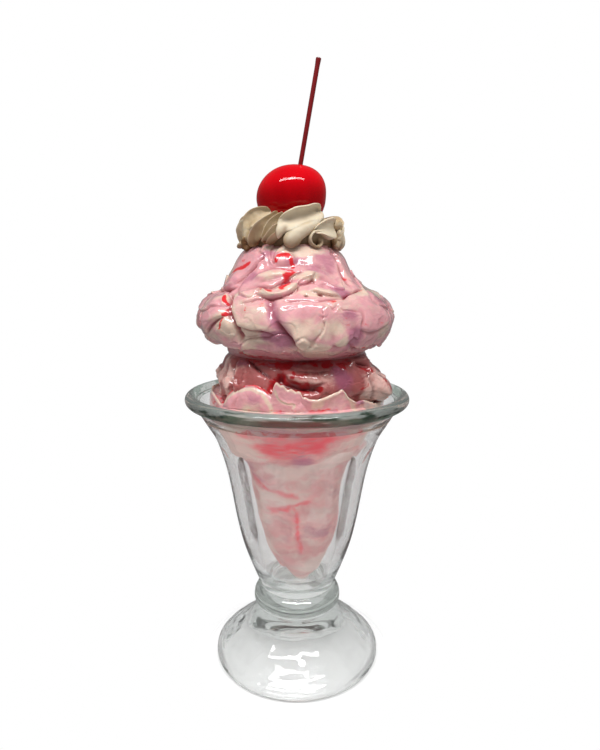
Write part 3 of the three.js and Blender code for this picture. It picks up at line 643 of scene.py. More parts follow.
upperScoop = {
    "rows": 230, "columns": 400, "redWidth": 1.25, "redWobble": 1.0, "lean": -2.4, "leanHeights": (156, 170),
    # soft unevenness: depth, cell, seed, octaves
    "uneven": [(0.35, 9, 3, 1), (0.12, 3.2, 4, 2)],
    "outline": [
        [28.4, 138.2], [30, 139.8], [32.8, 141.7], [35.8, 144], [38.2, 147], [39.7, 150.4], [40, 154.3],
        [38.7, 158.4], [35.9, 161.8], [31.9, 165.2], [27.9, 168], [25.2, 171], [23.4, 174.2], [21.7, 177.4],
        [19.2, 180.4], [15.4, 183],
    ],
    # lumps of the bare form: angle, height, half width, half height, rise, slope
    "lumps": [
        (-63, 152, 12, 6, 0.9, 0), (-23, 147, 8, 4.6, -1.2, 0), (-16, 168.5, 8.5, 3.6, 1.2, 12),
        (14, 148.5, 15, 6.5, 2.2, 0), (12, 158, 12, 3.4, 0.8, 0), (66, 156, 13, 5, 0.8, -20),
        (102, 160, 11, 3, 2.2, 25), (98, 150, 3, 7, -1.9, -20), (132, 149, 14, 6, 2.2, 0),
        (158, 163, 12, 2.6, 2.3, -24), (165, 155, 4, 7, -1.9, 25), (-158, 148.5, 14, 6, 2, 0),
        (-140, 160, 12, 3, 2, 20), (-118, 154, 3, 8, -2.2, 15), (-100, 150, 11, 5, 1.2, 0),
        (-90, 166, 12, 2.4, 1.2, -20), (-84, 165.6, 18, 4, -4.2, 0), (82, 165.6, 16, 3.4, -1.4, 0),
        (88, 157, 16, 4, -2.2, 0), (-84, 141.6, 20, 3, -4.6, 0), (84, 139.4, 16, 2.4, -2.2, 0),
        (-84, 154, 16, 5, -1.0, 0),
    ],
    "forms": [
        # left bulge and the deep crease beside it
        (addRidge, [(-43.5, 164), (-40, 160), (-38.7, 156.5), (-34.6, 152.5), (-31.5, 146)], -2.6, 1.5),
        (addRidge, [(-48, 161), (-42.5, 158)], -0.9, 1.0),
        (addLump, -52, 156, 9, 6, 0.9, 10),
        # ledge over the flat cream patch
        (addFold, [(-34, 150.8), (-30, 151.6), (-22.5, 150.7), (-15.6, 150.4),
            (-11, 148.8)], 1.3, 7, 0.9, 0.5, 0.3, 3),
        (addLump, -23.5, 147.2, 6.5, 3.2, -0.4, 0, 2),
        (addRidge, [(-33, 151), (-32, 146.5)], 0.7, 0.8),
        (addLump, -7.5, 148, 5, 3, -1.3, -25),
        # valley between the left part and the big lobe
        (addRidge, [(-13.5, 162), (-12.6, 158.5), (-10.7, 155), (-6, 150.5), (0, 146), (4, 142.5)], -1.9, 2.0),
        # leaf-shaped flap and the red ring above it
        (addLump, -14.5, 169.2, 6.0, 2.9, 1.5, 8, 3),
        (addFold, [(-24.4, 166), (-14.4, 165), (-6, 166.6), (2.5, 169.2), (12, 171)], 1.0, 3.5, 0.9, 0.5, 0.2, 4),
        (addLump, -6.5, 175.5, 4.3, 2.2, 1.2, 0, 2),
        (addRidge, [(-15.9, 176.3), (-6.8, 178.2), (2, 175.9), (3.9, 173.4)], 0.5, 0.8),
        # diagonal roll with its shadowed lower edge
        (addFold, [(-22, 162.8), (-15, 162), (-8, 162.4), (-1, 164), (6, 166.6)], 1.5, 4.6, 1.5, 0.9, 0.5, 4),
        (addLump, 11.4, 169.2, 5.5, 2.2, 1.2, 8, 2),
        (addFold, [(1, 167.2), (8, 166.8), (16, 168), (20, 170)], 0.7, 3.4, 0.8, 0.4, 0.2, 3),
        (addRidge, [(-8, 166), (4, 168.3), (10, 169.6)], -0.5, 0.9),
        # left slope
        (addFold, [(-60, 163.5), (-43.8, 169), (-33, 174), (-27, 178)], 0.9, 7, 1.2, 0.35, 0, 5),
        (addRidge, [(-36, 161.5), (-25, 164.3), (-16, 163)], 0.6, 1.4),
        (addFold, [(-31, 159.5), (-20, 161.5), (-15, 161)], 0.7, 4, 1.0, 0.4, 0, 3),
        (addLump, -29, 156.5, 2.2, 3, -0.5, 20),
        # the big front lobe: shoulder, scalloped lower edge and thin layers
        (addFold, [(-8, 160.8), (-2, 160.2), (6, 160.4), (12.9, 160.2), (20.5, 161),
            (31.5, 161.6)][::-1], 0.8, 5, 1.5, 0.6, 0, 5),
        (addFold, [(2.6, 144.8), (-1, 147.4), (-4.6, 150.5), (-8.6, 154.6)][::-1], 1.1, 5, 1.0, 0.6, 0.3, 3),
        (addFold, [(-2, 150.4), (2.4, 146.5), (8, 145), (15, 145.4), (20, 147.4)], 1.1, 5, 0.9, 0.4, 0.6, 2.5),
        (addFold, [(18, 147.8), (23, 146.6), (28, 147.2), (31, 150)], 1.0, 4, 0.9, 0.4, 0.5, 2.5),
        (addFold, [(-4, 144.5), (6, 141.9), (18, 141.6), (31, 143.6)], 0.9, 4, 1.0, 0.5, 0.4, 5),
        # pinholes and the flap beside them
        (addLump, 7.8, 162.8, 0.7, 0.6, -1.5),
        (addLump, 16.5, 163.1, 0.7, 0.6, -1.8),
        (addFold, [(11.5, 164.6), (16.5, 163.6), (24, 162.8), (29, 162.3)], 1.1, 3.2, 0.8, 0.5, 0.4, 2.5),
        # right: crease with a thin curled lip, shoulder and flank
        (addFold, [(58, 164.8), (46, 163.7), (38.2, 163), (31, 162)], 1.3, 5, 0.7, 1.6, 0.9, 4),
        (addRidge, [(28, 162), (38, 162.8), (52, 164)], -0.9, 1.6),
        (addFold, [(53.5, 178), (52, 171), (47, 166)], 0.8, 5, 1.0, 0.5, 0, 3),
        (addLump, 20, 170.8, 6.5, 2.4, 0.9, -12, 2),
        (addRidge, [(50, 160.5), (60, 159), (66, 154)], -0.7, 1.2),
        (addFold, [(34, 151), (45, 149.5), (58, 151), (66, 154)], 0.7, 5, 1.2, 0.3, 0, 5),
        # thin lips on the underside
        (addFold, [(-52, 144.2), (-40, 143.2), (-22, 143.6), (-6, 142.2)], 1.2, 3, 0.8, 0.7, 0.4, 4),
        (addFold, [(-44, 141), (-25, 140.9), (-5, 140.3), (10, 140.2), (30, 140.9)], 1.0, 2.4, 0.7, 0.6, 0.3, 5),
        (addFold, [(34, 144.6), (44, 143.6), (56, 145)], 0.9, 3, 0.8, 0.6, 0.3, 3),
    ],
    # patches: angle, height, half width, half height, strength, slope
    "mauve": [
        (-26, 178, 4, 2.2, 0.8, 20), (22, 172.5, 8.5, 3.0, 0.6, -8), (6, 174.6, 5, 2.0, 0.7, 10),
        (-33, 168.6, 6, 2.8, 0.75, 20), (-8, 148, 6.5, 3.4, 1.0, -20), (32, 149.5, 3.6, 5, 1.0, -15),
        (29, 155.5, 4.5, 3.6, 0.75, 0), (-12, 159.5, 2.4, 3.4, 0.8, 0), (33.5, 164.8, 4, 3.6, 0.8, 10),
        (58, 161.5, 5, 2.6, 0.75, -30), (40, 176, 6, 4, 0.55, 0), (-52, 167, 5, 2, 0.5, 25),
    ],
    "cream": [
        (-3, 179.6, 13, 1.8, 0.95, -3), (14.8, 178, 5, 1.6, 0.7, 0), (-5, 165, 5.5, 1.6, 0.9, 16),
        (11, 169, 5, 1.8, 0.9, 8), (15, 163.6, 6, 1.6, 0.9, 0), (24, 163, 4, 1.4, 0.95, -8),
        (-33, 157, 6, 4, 0.3, 0), (-23, 156, 7, 3.4, 0.4, 0), (-23.9, 151.9, 6.5, 1.4, 1.0, 0),
        (-24, 147.8, 7.5, 3.6, 1.0, 0), (4, 152.0, 6, 3.4, 0.7, 0), (14, 151.0, 7, 3.4, 0.75, 0),
        (8, 146.8, 8.5, 2.4, 0.95, -4), (25.5, 147.8, 4.6, 2, 0.9, 0), (-14.5, 168.8, 5.5, 2.4, 0.75, 8),
        (48.9, 163.2, 4.5, 1.8, 0.8, 0), (-40, 150.5, 5, 4.4, 0.85, 0), (-55, 148, 7, 3, 0.6, 0),
        (60, 149.5, 6, 3, 0.55, 0), (-44, 162, 6, 2.4, 0.7, 20), (12, 143.4, 10, 1.6, 0.6, 0),
        (-60, 158, 4, 4, 0.5, 0),
    ],
    # strokes: points, half width, strength
    "mauveStrokes": [
        ([(-12.5, 161), (-10.7, 155.3), (-5, 150), (0, 146.4)], 2.6, 0.95),
        ([(-8, 141), (6, 141), (24, 141.4)], 1.6, 0.5),
    ],
    "red": [
        ([(-46, 163), (-43, 161), (-40.3, 159.3), (-40.6, 157), (-42.2, 155)], 0.6, 1.1),
        ([(-41.5, 155.5), (-43.8, 152.5), (-44.5, 150)], 0.7, 0.8),
        ([(-66, 171.6), (-54, 173), (-40, 175.6)], 1.1, 0.95), ([(-60, 174.6), (-46, 177)], 1.4, 0.45),
        ([(-15.4, 173.9), (-13, 175.8), (-6.8, 176.6), (0.5, 174.9), (3.6, 171.5)], 0.85, 1.0),
        ([(-9.5, 171.9), (-3, 171.2), (3.6, 171.5)], 0.55, 0.9), ([(24, 155), (30, 153.4)], 2.2, 0.42),
        # the first stroke on the next line, round the underside at 139 to 140, is painted shade
        ([(-50, 140.4), (-20, 139.5), (10, 139.2), (50, 140)], 1.6, 0.62), ([(6, 158.6), (14, 157)], 1.6, 0.4),
        ([(-9, 164), (-5, 166), (-2, 168.4), (4, 170.8)], 1.1, 0.95), ([(-22, 164.2), (-17, 163.4)], 0.9, 0.8),
        ([(-16, 163), (-13.4, 164.6)], 1.1, 0.9), ([(49.5, 170.4), (50.8, 167.8)], 0.9, 0.75),
        ([(34, 162.6), (44, 163.4), (56, 164.2)], 0.7, 0.7), ([(6.5, 162.2), (9.2, 162.6)], 1.1, 0.7),
        ([(7, 165), (10, 163.6)], 1.3, 0.5), ([(16, 160.2), (24, 160.6)], 0.7, 0.6),
        ([(41, 144.1), (47, 144.3)], 0.8, 1.0), ([(-20, 158), (-15, 160)], 1.6, 0.45),
        ([(-31, 160), (-29.5, 155.6)], 1.1, 0.5), ([(-27, 159.6), (-26, 156)], 0.9, 0.5),
        ([(36, 154), (42, 152)], 2.2, 0.4), ([(50, 154), (56, 151)], 1.8, 0.4),
    ],
}


def scoopField(v):
    # the turned surface of a scoop with the modelling and paint of its table
    field = turnedField(v["outline"], v["rows"], v["columns"])
    for lump in v["lumps"]:
        addLump(field, *lump)
    for form, *values in v["forms"]:
        form(field, *values)
    for depth, *noise in v["uneven"]:
        field["lift"] += depth * softNoise(field["base"], *noise)
    for layer in ("mauve", "cream"):
        for patch in v[layer]:
            paintPatch(field, layer, *patch)
    for points, width, strength in v["red"]:
        paintCurve(field, "red", points, v["redWidth"] * width, strength, 1.5, v["redWobble"])
    return field


def modelUpperBack(field):
    # the same kinds of fold, sweeping up to the right, spread by a seeded draw
    draw = np.random.default_rng(31)
    between = draw.uniform
    # each row: angles, heights, sweep, rise to the middle and to the end, lift,
    # width, crease and overhang
    for angles, heights, sweeps, toMiddle, toEnd, lift, width, crease, over in [
            ((82, 300, 24), (146, 151), (14, 24), (2, 6), (6, 12), (1.0, 2.0), (5, 9), (0.4, 1.0), (0.2, 0.8)),
            ((76, 300, 31), (158, 168), (16, 28), (0, 3), (2, 7), (0.8, 1.6), (4, 7), (0.3, 0.9), (0, 0.6))]:
        for angle in np.arange(*angles):
            z, sweep = between(*heights), between(*sweeps)
            points = [(angle, z), (angle + sweep / 2, z + between(*toMiddle)), (angle + sweep, z + between(*toEnd))]
            addFold(field, points, between(*lift), between(*width), 1.2, between(*crease), between(*over), 5)
    for angle in np.arange(70, 300, 36):
        z = between(141, 143.5)
        addFold(field, [(angle - 14, z + 0.8), (angle, z), (angle + 16, z + between(0, 1.4))], 1, 3, 0.8, 0.6, 0.3, 5)
    for angle in np.arange(74, 300, 23):
        z = between(146, 176)
        layer = ["red", "mauve", "cream", "cream"][draw.integers(4)]
        if layer == "red":
            paintCurve(field, layer, [(angle - 8, z), (angle, z + 2), (angle + 9, z + between(0, 5))], 0.9, 0.9)
        else:
            paintPatch(field, layer, angle, z, between(5, 10), between(3, 5), between(0.7, 1), between(-30, 30))


def buildUpperScoop():
    # Turned surface moved along its outward direction by the modelling, and
    # pushed towards -X near its top.
    field = scoopField(upperScoop)
    for stroke in upperScoop["mauveStrokes"]:
        paintCurve(field, "mauve", *stroke)
    modelUpperBack(field)
    z = field["z"][:, None]
    addPlates(field, cell=20, step=0.75, spread=0.35, seed=81)
    addPlates(field, cell=10, step=0.3, spread=0.3, seed=82, share=smooth(z, 165, 150))
    addPlates(field, cell=7, step=0.3, spread=0.35, seed=83, share=smooth(z, 149, 143))
    shift = upperScoop["lean"] * (0.2 + 0.8 * smooth(z, *upperScoop["leanHeights"])) * smooth(z, 138, 146)
    grid, marble = finishField(field, shift)
    # painted shade: the underside is painted darker, as it lies in shade
    height = grid[..., 2]
    marble[..., 3] = np.maximum(marble[..., 3], 0.5 * smooth(height, 144.4, 141) + 0.2 * smooth(height, 141, 138.6))
    addPiece("folded_scoop_upper", [grid], [scoopMaterial], "scoop_upper", [marble])


scoopMaterial = marbledMaterial("resinCoatedFiller")
buildUpperScoop()


# Lower scoop, in the same terms, its colours a painted shaded copy of the upper scoop's.

lowerScoop = {
    "rows": 130, "columns": 360, "redWidth": 1.0, "redWobble": 1.3, "crag": 64,
    "uneven": [(0.2, 8, 33, 1), (0.08, 3, 34, 2)],
    "outline": [
        [26.5, 112], [29.6, 113.6], [32, 117.6], [33.6, 122], [35, 127.5], [33.6, 131.6], [31.3, 135.4],
        [30, 137.2], [28.6, 138.6],
    ],
    "lumps": [
        (66, 125.6, 9, 4.6, 6.0, -8), (56, 132.5, 6.5, 3, 1.8, 0), (-9, 131.5, 9, 1.8, -1.2, -22),
        (12, 132, 11, 4, 1, 0), (112, 130, 9, 4, 1.6, 15), (165, 128, 12, 4, 1.4, -20),
        (-128, 131, 10, 3.4, 1.5, 25), (-98, 127, 3, 7, -1.4, 0), (180, 122, 20, 9, -4.5, 0),
        (-84, 133.5, 18, 4, -2.4, 0), (88, 134, 12, 3.4, -3.8, 0), (-84, 125.6, 14, 3.4, -4.2, 0),
    ],
    "forms": [
        # deep crack behind the torn edge of the collar, and thin layers over it
        (addRidge, [(-16, 128), (-13, 131.6), (-10.6, 133), (-8, 131), (-2.5, 129.6), (4, 128.6), (10, 128.6),
            (15, 128)], -2.4, 1.5, 3, 0.7),
        (addFold, [(-9, 134.6), (-4, 132), (2, 130.8), (10, 130.2), (18, 130.6)], 0.8, 5, 0.7, 0.6, 0.2, 4, 0.6),
        (addFold, [(-4, 136), (3, 134.4), (12, 134), (22, 134.8)], 0.5, 4, 0.7, 0.4, 0.1, 4, 0.6),
        # diagonal groove and the brown panel left of it
        (addFold, [(-15, 131.5), (-22, 133.6), (-30, 135.4), (-40, 138)], 0.8, 5, 0.9, 0.8, 0.2, 3),
        # upright folds on the left
        (addFold, [(-50, 138.2), (-48, 134), (-42, 128), (-38, 122)], 1.1, 4, 1.0, 0.9, 0.4, 4),
        (addFold, [(-60, 138), (-57, 133), (-50, 126.5), (-46, 120)], 1.3, 4, 1.0, 0.9, 0.4, 4),
        (addFold, [(-74, 137.6), (-70, 132), (-64, 126), (-60, 119)], 1.2, 4, 1.0, 0.9, 0.4, 4),
        (addFold, [(-92, 137), (-86, 131), (-80, 125), (-77, 118)], 1.2, 4, 1.0, 0.9, 0.4, 4),
        # crag on the right: pocket, lips and a low ragged end
        (addLump, 50, 135, 3.2, 1.4, -1.6, -20, 2),
        (addFold, [(40, 137.4), (46, 136.8), (54, 134.5), (60, 131.5)][::-1], 1.0, 3, 0.8, 0.7, 0.3, 2),
        (addFold, [(52, 134), (51, 130), (53, 126), (56, 121)], 0.8, 4, 1.0, 0.3, 0.3, 3),
        (addFold, [(58, 131), (66, 129), (76, 129.6)], 0.8, 3, 0.7, 0.3, 0.4, 3, 0.8),
        (addFold, [(54, 127), (64, 125), (76, 126)], 0.8, 3, 0.7, 0.3, 0.4, 3, 0.8),
        (addFold, [(56, 123), (66, 121.4), (78, 122.4)], 0.8, 3, 0.7, 0.3, 0.4, 3, 0.8),
        (addLump, 62, 136, 5, 2.6, 1.6, -10),
    ],
    "mauve": [
        (32, 132, 4.6, 6, 1.0, -10), (-39, 137, 5, 2, 0.6, 0), (-12, 137, 8, 1.2, 0.5, 0),
    ],
    "cream": [
        (19, 131.6, 7, 3, 0.5, 0), (-34, 132.5, 6, 4, 0.2, 0), (50, 129, 5, 5, 0.8, 0), (60, 126, 12, 7, 1.5, 0),
        (70, 129, 9, 7, 1.5, 0), (-54, 130, 5, 6, 0.8, 0), (-68, 130, 6, 8, 1.6, 0), (-80, 126, 6, 8, 1.8, 0),
    ],
    "red": [
        ([(-17, 127), (-13.4, 131), (-10.6, 133.2), (-8, 131.4), (-2.5, 130), (4, 129), (9, 129.2)], 2.0, 1.3),
        ([(-12, 134.8), (-10.6, 133)], 1.1, 1.2), ([(9, 129.2), (13, 128.8), (16, 128)], 1.2, 1.0),
        ([(-15.4, 134.4), (-13.6, 134.8)], 0.8, 0.9), ([(-2.6, 135.4), (-2, 133.6), (-3.6, 131.6)], 0.9, 0.9),
        ([(-13, 136.6), (-8, 137), (-2, 136.8)], 1.7, 1.2), ([(16, 136.6), (21, 136.4), (27, 136.6)], 1.6, 1.2),
        ([(29, 136.6), (37, 136.2)], 1.3, 1.1), ([(-45, 138), (-20, 137.4), (14, 137.2), (45, 137.6)], 2.4, 0.62),
        ([(-8, 134), (4, 132.6), (16, 133.4)], 1.0, 0.45), ([(-30, 131), (-20, 127.6)], 2.4, 0.42),
        ([(46, 135.8), (53, 133), (54, 131)], 1.0, 1.0), ([(42, 129), (50, 128.4)], 1.4, 0.5),
        ([(58, 129), (66, 127), (74, 127.6)], 1.2, 0.7), ([(-62, 128), (-56, 123)], 1.6, 0.5),
        ([(66, 130.6), (72, 128)], 1.4, 0.6), ([(64, 124), (70, 123)], 1.2, 0.6),
    ],
}


def modelLowerBack(field):
    # folds and patches behind, spread by a seeded draw
    draw = np.random.default_rng(12)
    between = draw.uniform
    for angle in np.arange(88, 270, 22):
        z = between(122, 130)
        points = [(angle, z), (angle + 9, z + between(1, 4)), (angle + 20, z + between(3, 8))]
        addFold(field, points, between(1.0, 1.9), between(4, 7), 1.1, between(0.4, 1.1), 0.5, 4)
    for angle in np.arange(80, 280, 30):
        layer = ["red", "mauve", "cream"][draw.integers(3)]
        z = between(122, 135)
        paintPatch(field, layer, angle, z, between(3, 8), between(1.5, 4), 0.8, between(-30, 30))


def buildLowerScoop():
    # as the upper scoop, with thin broken plates on the crag
    field = scoopField(lowerScoop)
    modelLowerBack(field)
    crag = sector(field["angle"], lowerScoop["crag"], 26, 14)
    addPlates(field, cell=14, step=0.6, spread=0.35, seed=84)
    addPlates(field, cell=7, step=0.25, spread=0.3, seed=85)
    addPlates(field, cell=5, step=0.45, spread=0.3, seed=86, share=crag)
    grid, marble = finishField(field)
    # painted shade: pink, mauve, red and crease colours are darker copies of the upper scoop's, for the shade under
    # it; the pale cream is lighter to offset the shade on the crag
    material = marbledMaterial("resinCoatedFillerShadedCopy", {
        "pink": "#a65856", "paleCream": "#e6bcb2", "mauve": "#a0546c", "red": "#a80c16", "paintedShadeColour": "#640c16",
        "creamFrom": 1.5, "creamTo": 2.4})
    addPiece("folded_scoop_lower", [grid], [material], "scoop_lower", [marble])


buildLowerScoop()


# Filling and its collar of folds.

filling = {
    "plugTip": 36.2, "edge": 36.4, "backGap": 5.0, "edgeWave": 0.5, "plugWave": 0.8, "plugLean": 2.0,
    "intoGlass": 0.15, "airGap": 0.5, "bandFrom": 98.9, "bandTo": 111.9, "poolFrom": 112, "poolTop": 119.3,
    "poolOver": 1.2, "collarFrom": 116.2, "thick": 0.55, "wallRadius": 36, "columns": 380,
    "torn": 0.35, "rough": 0.55, "soft": 0.4, "fine": 0.12, "cushion": 1.8, "lip": 0.9, "groove": 3.2,
    # in degrees: middle, end on both sides, and full on both sides
    "contact": [(-4, 60, 44), (118, 34, 20), (-140, 40, 24)], "pool": (-3, 56, 44), "pressed": (3, 50, 8),
    # in degrees: start, full, full and end
    "dome": (-54, -50, -16, -14.4), "flap": (-2, 10, 40, 60), "highContact": (12, 30, 60, 100),
    # hollows low on the plug: rise, middle and half width in degrees
    "ragged": [(2.4, -40, 16), (9, 84, 46), (4, -120, 45), (4, 170, 45)],
    "plug": [
        [2.4, 36.3], [4.2, 38], [6.6, 40.6], [10.8, 42.6], [13.6, 46.4], [15.8, 52.6], [17, 60], [18.2, 69],
        [20, 79], [21.8, 87], [24.2, 94], [27.2, 98.6],
    ],
    # upper edge of the collar: angle, height
    "top": [
        (-180, 122.2), (-165, 124.6), (-150, 125.4), (-135, 123.6), (-118, 121.6), (-104, 123), (-95, 123.4),
        (-84, 122), (-78, 122.8), (-71, 124), (-65, 123.8), (-60, 122.6), (-56, 121.4), (-53.4, 120.6),
        (-51, 121.4), (-48.5, 123.8), (-45.6, 125.8), (-42.5, 127.2), (-38.5, 128.6), (-34, 129.4), (-27, 129.9),
        (-21.4, 129.2), (-18, 128), (-15.6, 126.9), (-14.8, 127.4), (-13.8, 130), (-12.4, 131.6), (-11.2, 131.4),
        (-9.6, 130.4), (-8.2, 130.6), (-5.5, 129.2), (-3.6, 129.3), (-0.8, 128), (0.6, 128.4), (2.3, 128),
        (3.2, 126.5), (5.2, 126), (7.5, 125.3), (13.4, 125.4), (19.4, 126.5), (24.3, 127.7), (27.3, 128.5),
        (29.4, 127.4), (32, 125.2), (36.6, 123.2), (41, 123.6), (45, 123.1), (50, 121.8), (58, 120.6), (70, 119.8),
        (84, 121), (96, 122.2), (108, 123.6), (126, 122.8), (145, 125.8), (162, 123), (180, 122.2),
    ],
    # folds on the collar: points, rise, width, edge
    "folds": [
        ([(-13.4, 129), (-11.8, 126.4), (-9, 124.6), (-5.5, 123.7), (-1.6, 123.3), (-3.2, 121.8), (-2.3, 120.4),
            (-5, 119.4)], 0.22, 0.5, 0.5), ([(28.5, 128.8), (31, 126), (34, 123), (35, 119)], 0.6, 3.4, 0.9),
        ([(9, 119.5), (5, 121.6), (2.5, 124)], 0.7, 4, 0.8),
        ([(-45, 124), (-43, 120.5), (-45, 117)], 0.9, 2.2, 0.6),
        ([(38, 125), (41, 121.5), (40, 118)], 0.7, 3, 0.6),
        ([(-38.5, 117), (-38.4, 121), (-36, 125.4)], 0.7, 5, 0.8),
    ],
    # strokes on the collar: layer, points, half width, strength
    "strokes": [
        ("red", [(-50, 121.6), (-47, 124.6), (-41, 127.6), (-34, 129.2), (-27, 129.6), (-20, 128.6),
            (-16.4, 126)], 0.6, 0.75), ("red", [(-49, 122.4), (-45.6, 125.2), (-39.5, 127.6)], 1.2, 0.5),
        ("red", [(-72, 121), (-62, 120.4), (-54, 118)], 3.2, 0.55),
        ("red", [(-30, 120.6), (-10, 120.8), (14, 121), (26, 120.6)], 1.1, 0.5),
        # the pale line along the dome's edge is a painted highlight
        ("cream", [(-48, 121), (-45, 124), (-39, 126.8), (-33, 128), (-27, 128.2), (-21, 127), (-17.4, 124.4),
            (-15, 121.6), (-15.2, 119.4)], 0.55, 1.3),
        ("cream", [(28.5, 128.6), (31, 126), (34, 123), (35, 119)], 0.8, 1.0),
        ("cream", [(-33, 120.5), (-20, 121)], 2.6, 0.6),
        # the pale line along the torn shard is a painted highlight
        ("cream", [(-13.4, 129), (-11.8, 126.4), (-9, 124.6), (-5.5, 123.7), (-1.6, 123.3),
            (-3.2, 121.8)], 0.4, 1.1), ("cream", [(8, 123), (16, 123)], 1.8, 0.9),
        ("mauve", [(38, 125), (39.6, 121)], 2.6, 1.0), ("mauve", [(-30, 125), (-20, 125.5)], 2.4, 0.45),
        ("mauve", [(-12, 121), (-6, 119.6)], 1.8, 0.5), ("mauve", [(18, 121.8), (26, 121)], 2.6, 0.45),
    ],
    # red streaks of the plug, as X and height
    "streaks": [
        ([(-18, 91), (-11, 85.5), (2, 82)], 1.6, 0.8), ([(7, 80.4), (0, 78.5), (-7, 75), (-12, 74.6)], 1.4, 0.9),
        ([(-1, 79), (0, 70), (1.6, 54)], 1.4, 0.7), ([(5, 64.4), (5.8, 64)], 0.9, 0.9),
        ([(5, 53), (6.4, 53.4)], 0.9, 0.6), ([(14, 60), (13, 50)], 1.0, 0.35), ([(-9, 50), (-6, 42)], 1.4, 0.4),
    ],
}


def fillingRows(v, turn, angle, top, dome, contact, lowest):
    # Rows from the tip of the plug upwards: the plug, a band that touches the
    # glass where contact is 1, a pool of resin that runs out to the rim at the
    # front, the collar, its rounded edge and the way down into the scoop. Each
    # row has a radius, a height, a shift towards +X and a material.
    rows = []

    def addRow(r, z, shift=0.0, kind=1):
        rows.append((r + 0 * angle, z + 0 * angle, shift, kind))

    addRow(0.0, v["plugTip"], v["plugLean"], 0)
    ragged = sum(rise * bell(turnBetween(middle, angle), width) for rise, middle, width in v["ragged"])
    for r, z in smoothRows(v["plug"], 100):
        lift = ragged * smooth(z, 66, 40) * smooth(r, 3, 10)
        wave = v["plugWave"] * np.sin(3 * turn + z / 6) * smooth(z, 38, 50)
        lean = v["plugLean"] * smooth(z, 82, 64)
        room = bowlRadius(z + lift) - 0.7 - lean * np.maximum(np.sin(turn), 0)
        addRow(np.minimum(r + wave, np.maximum(room, r - 3)), z + lift, lean, 0)
    base = v["edge"] - v["backGap"] * bell(turnBetween(180, angle), 34) - v["edgeWave"] * (np.cos(3 * turn) - 1)
    for z in np.linspace(v["bandFrom"], v["bandTo"], 44):
        wall = bowlRadius(z) + fluteCut(angle, z) + v["intoGlass"] * contact - v["airGap"] * (1 - contact)
        touch = smooth(z, lowest - 2.4, lowest + 0.4)
        free = 27.4 + 0.9 * (z - v["bandFrom"])
        addRow(np.minimum((1 - touch) * np.minimum(free, wall) + touch * wall, base), z, 0, 0)
    pool, poolFrom, poolTop = sector(angle, *v["pool"]), v["poolFrom"], v["poolTop"]
    poolEnd = poolTop + v["poolOver"]
    low = v["collarFrom"] + (poolEnd - v["collarFrom"]) * pool
    for share in np.linspace(0.03, 1, 34):
        z = poolFrom + (poolEnd - poolFrom) * share
        out = pool * smooth(z, poolTop - 2.2, poolTop - 0.4) * smooth(z, poolTop + 1.3, poolTop + 0.2)
        wall = bowlRadius(min(z, 119.2)) + v["intoGlass"]
        addRow((1 - out) * base + out * wall, poolFrom + (low - poolFrom) * share)
    # the dome is a cushion, the flap leans out to a thin lip
    flap = 0.6 * stretch(angle, *v["flap"])
    for share in np.linspace(0.02, 1, 60):
        z = low + (top - 1 - low) * share
        edgeAway = top - z
        cushion = v["cushion"] * dome * (quarterRise((edgeAway - 0.9) / 5.5) - 1) + 0.6 * dome
        lip = v["lip"] * flap * (bell(edgeAway, 1.2) - bell(edgeAway - 4.2, 2.6))
        addRow(base - 0.4 * smooth(z, 121, 129) * (1 - flap) + cushion + lip, z)
    outer = rows[-1][0]
    for step in np.linspace(20, 160, 8) * degree:
        addRow(outer - v["thick"] * (1 - np.cos(step)), top - 1 + np.sin(step))
    groove = v["groove"] * flap + 0.6
    for inwards, drop in ((1.3, 0.1), (1.8, 0.6 * groove), (2.6, groove), (5.5, 0.6 + groove)):
        addRow(outer - inwards, top - 1 - drop)
    addRow(28.0, 116.0)
    addRow(0.0, 114.0)
    r, z, shift, kinds = zip(*rows)
    return np.stack(r), np.stack(z), np.array(shift)[:, None], kinds, outer


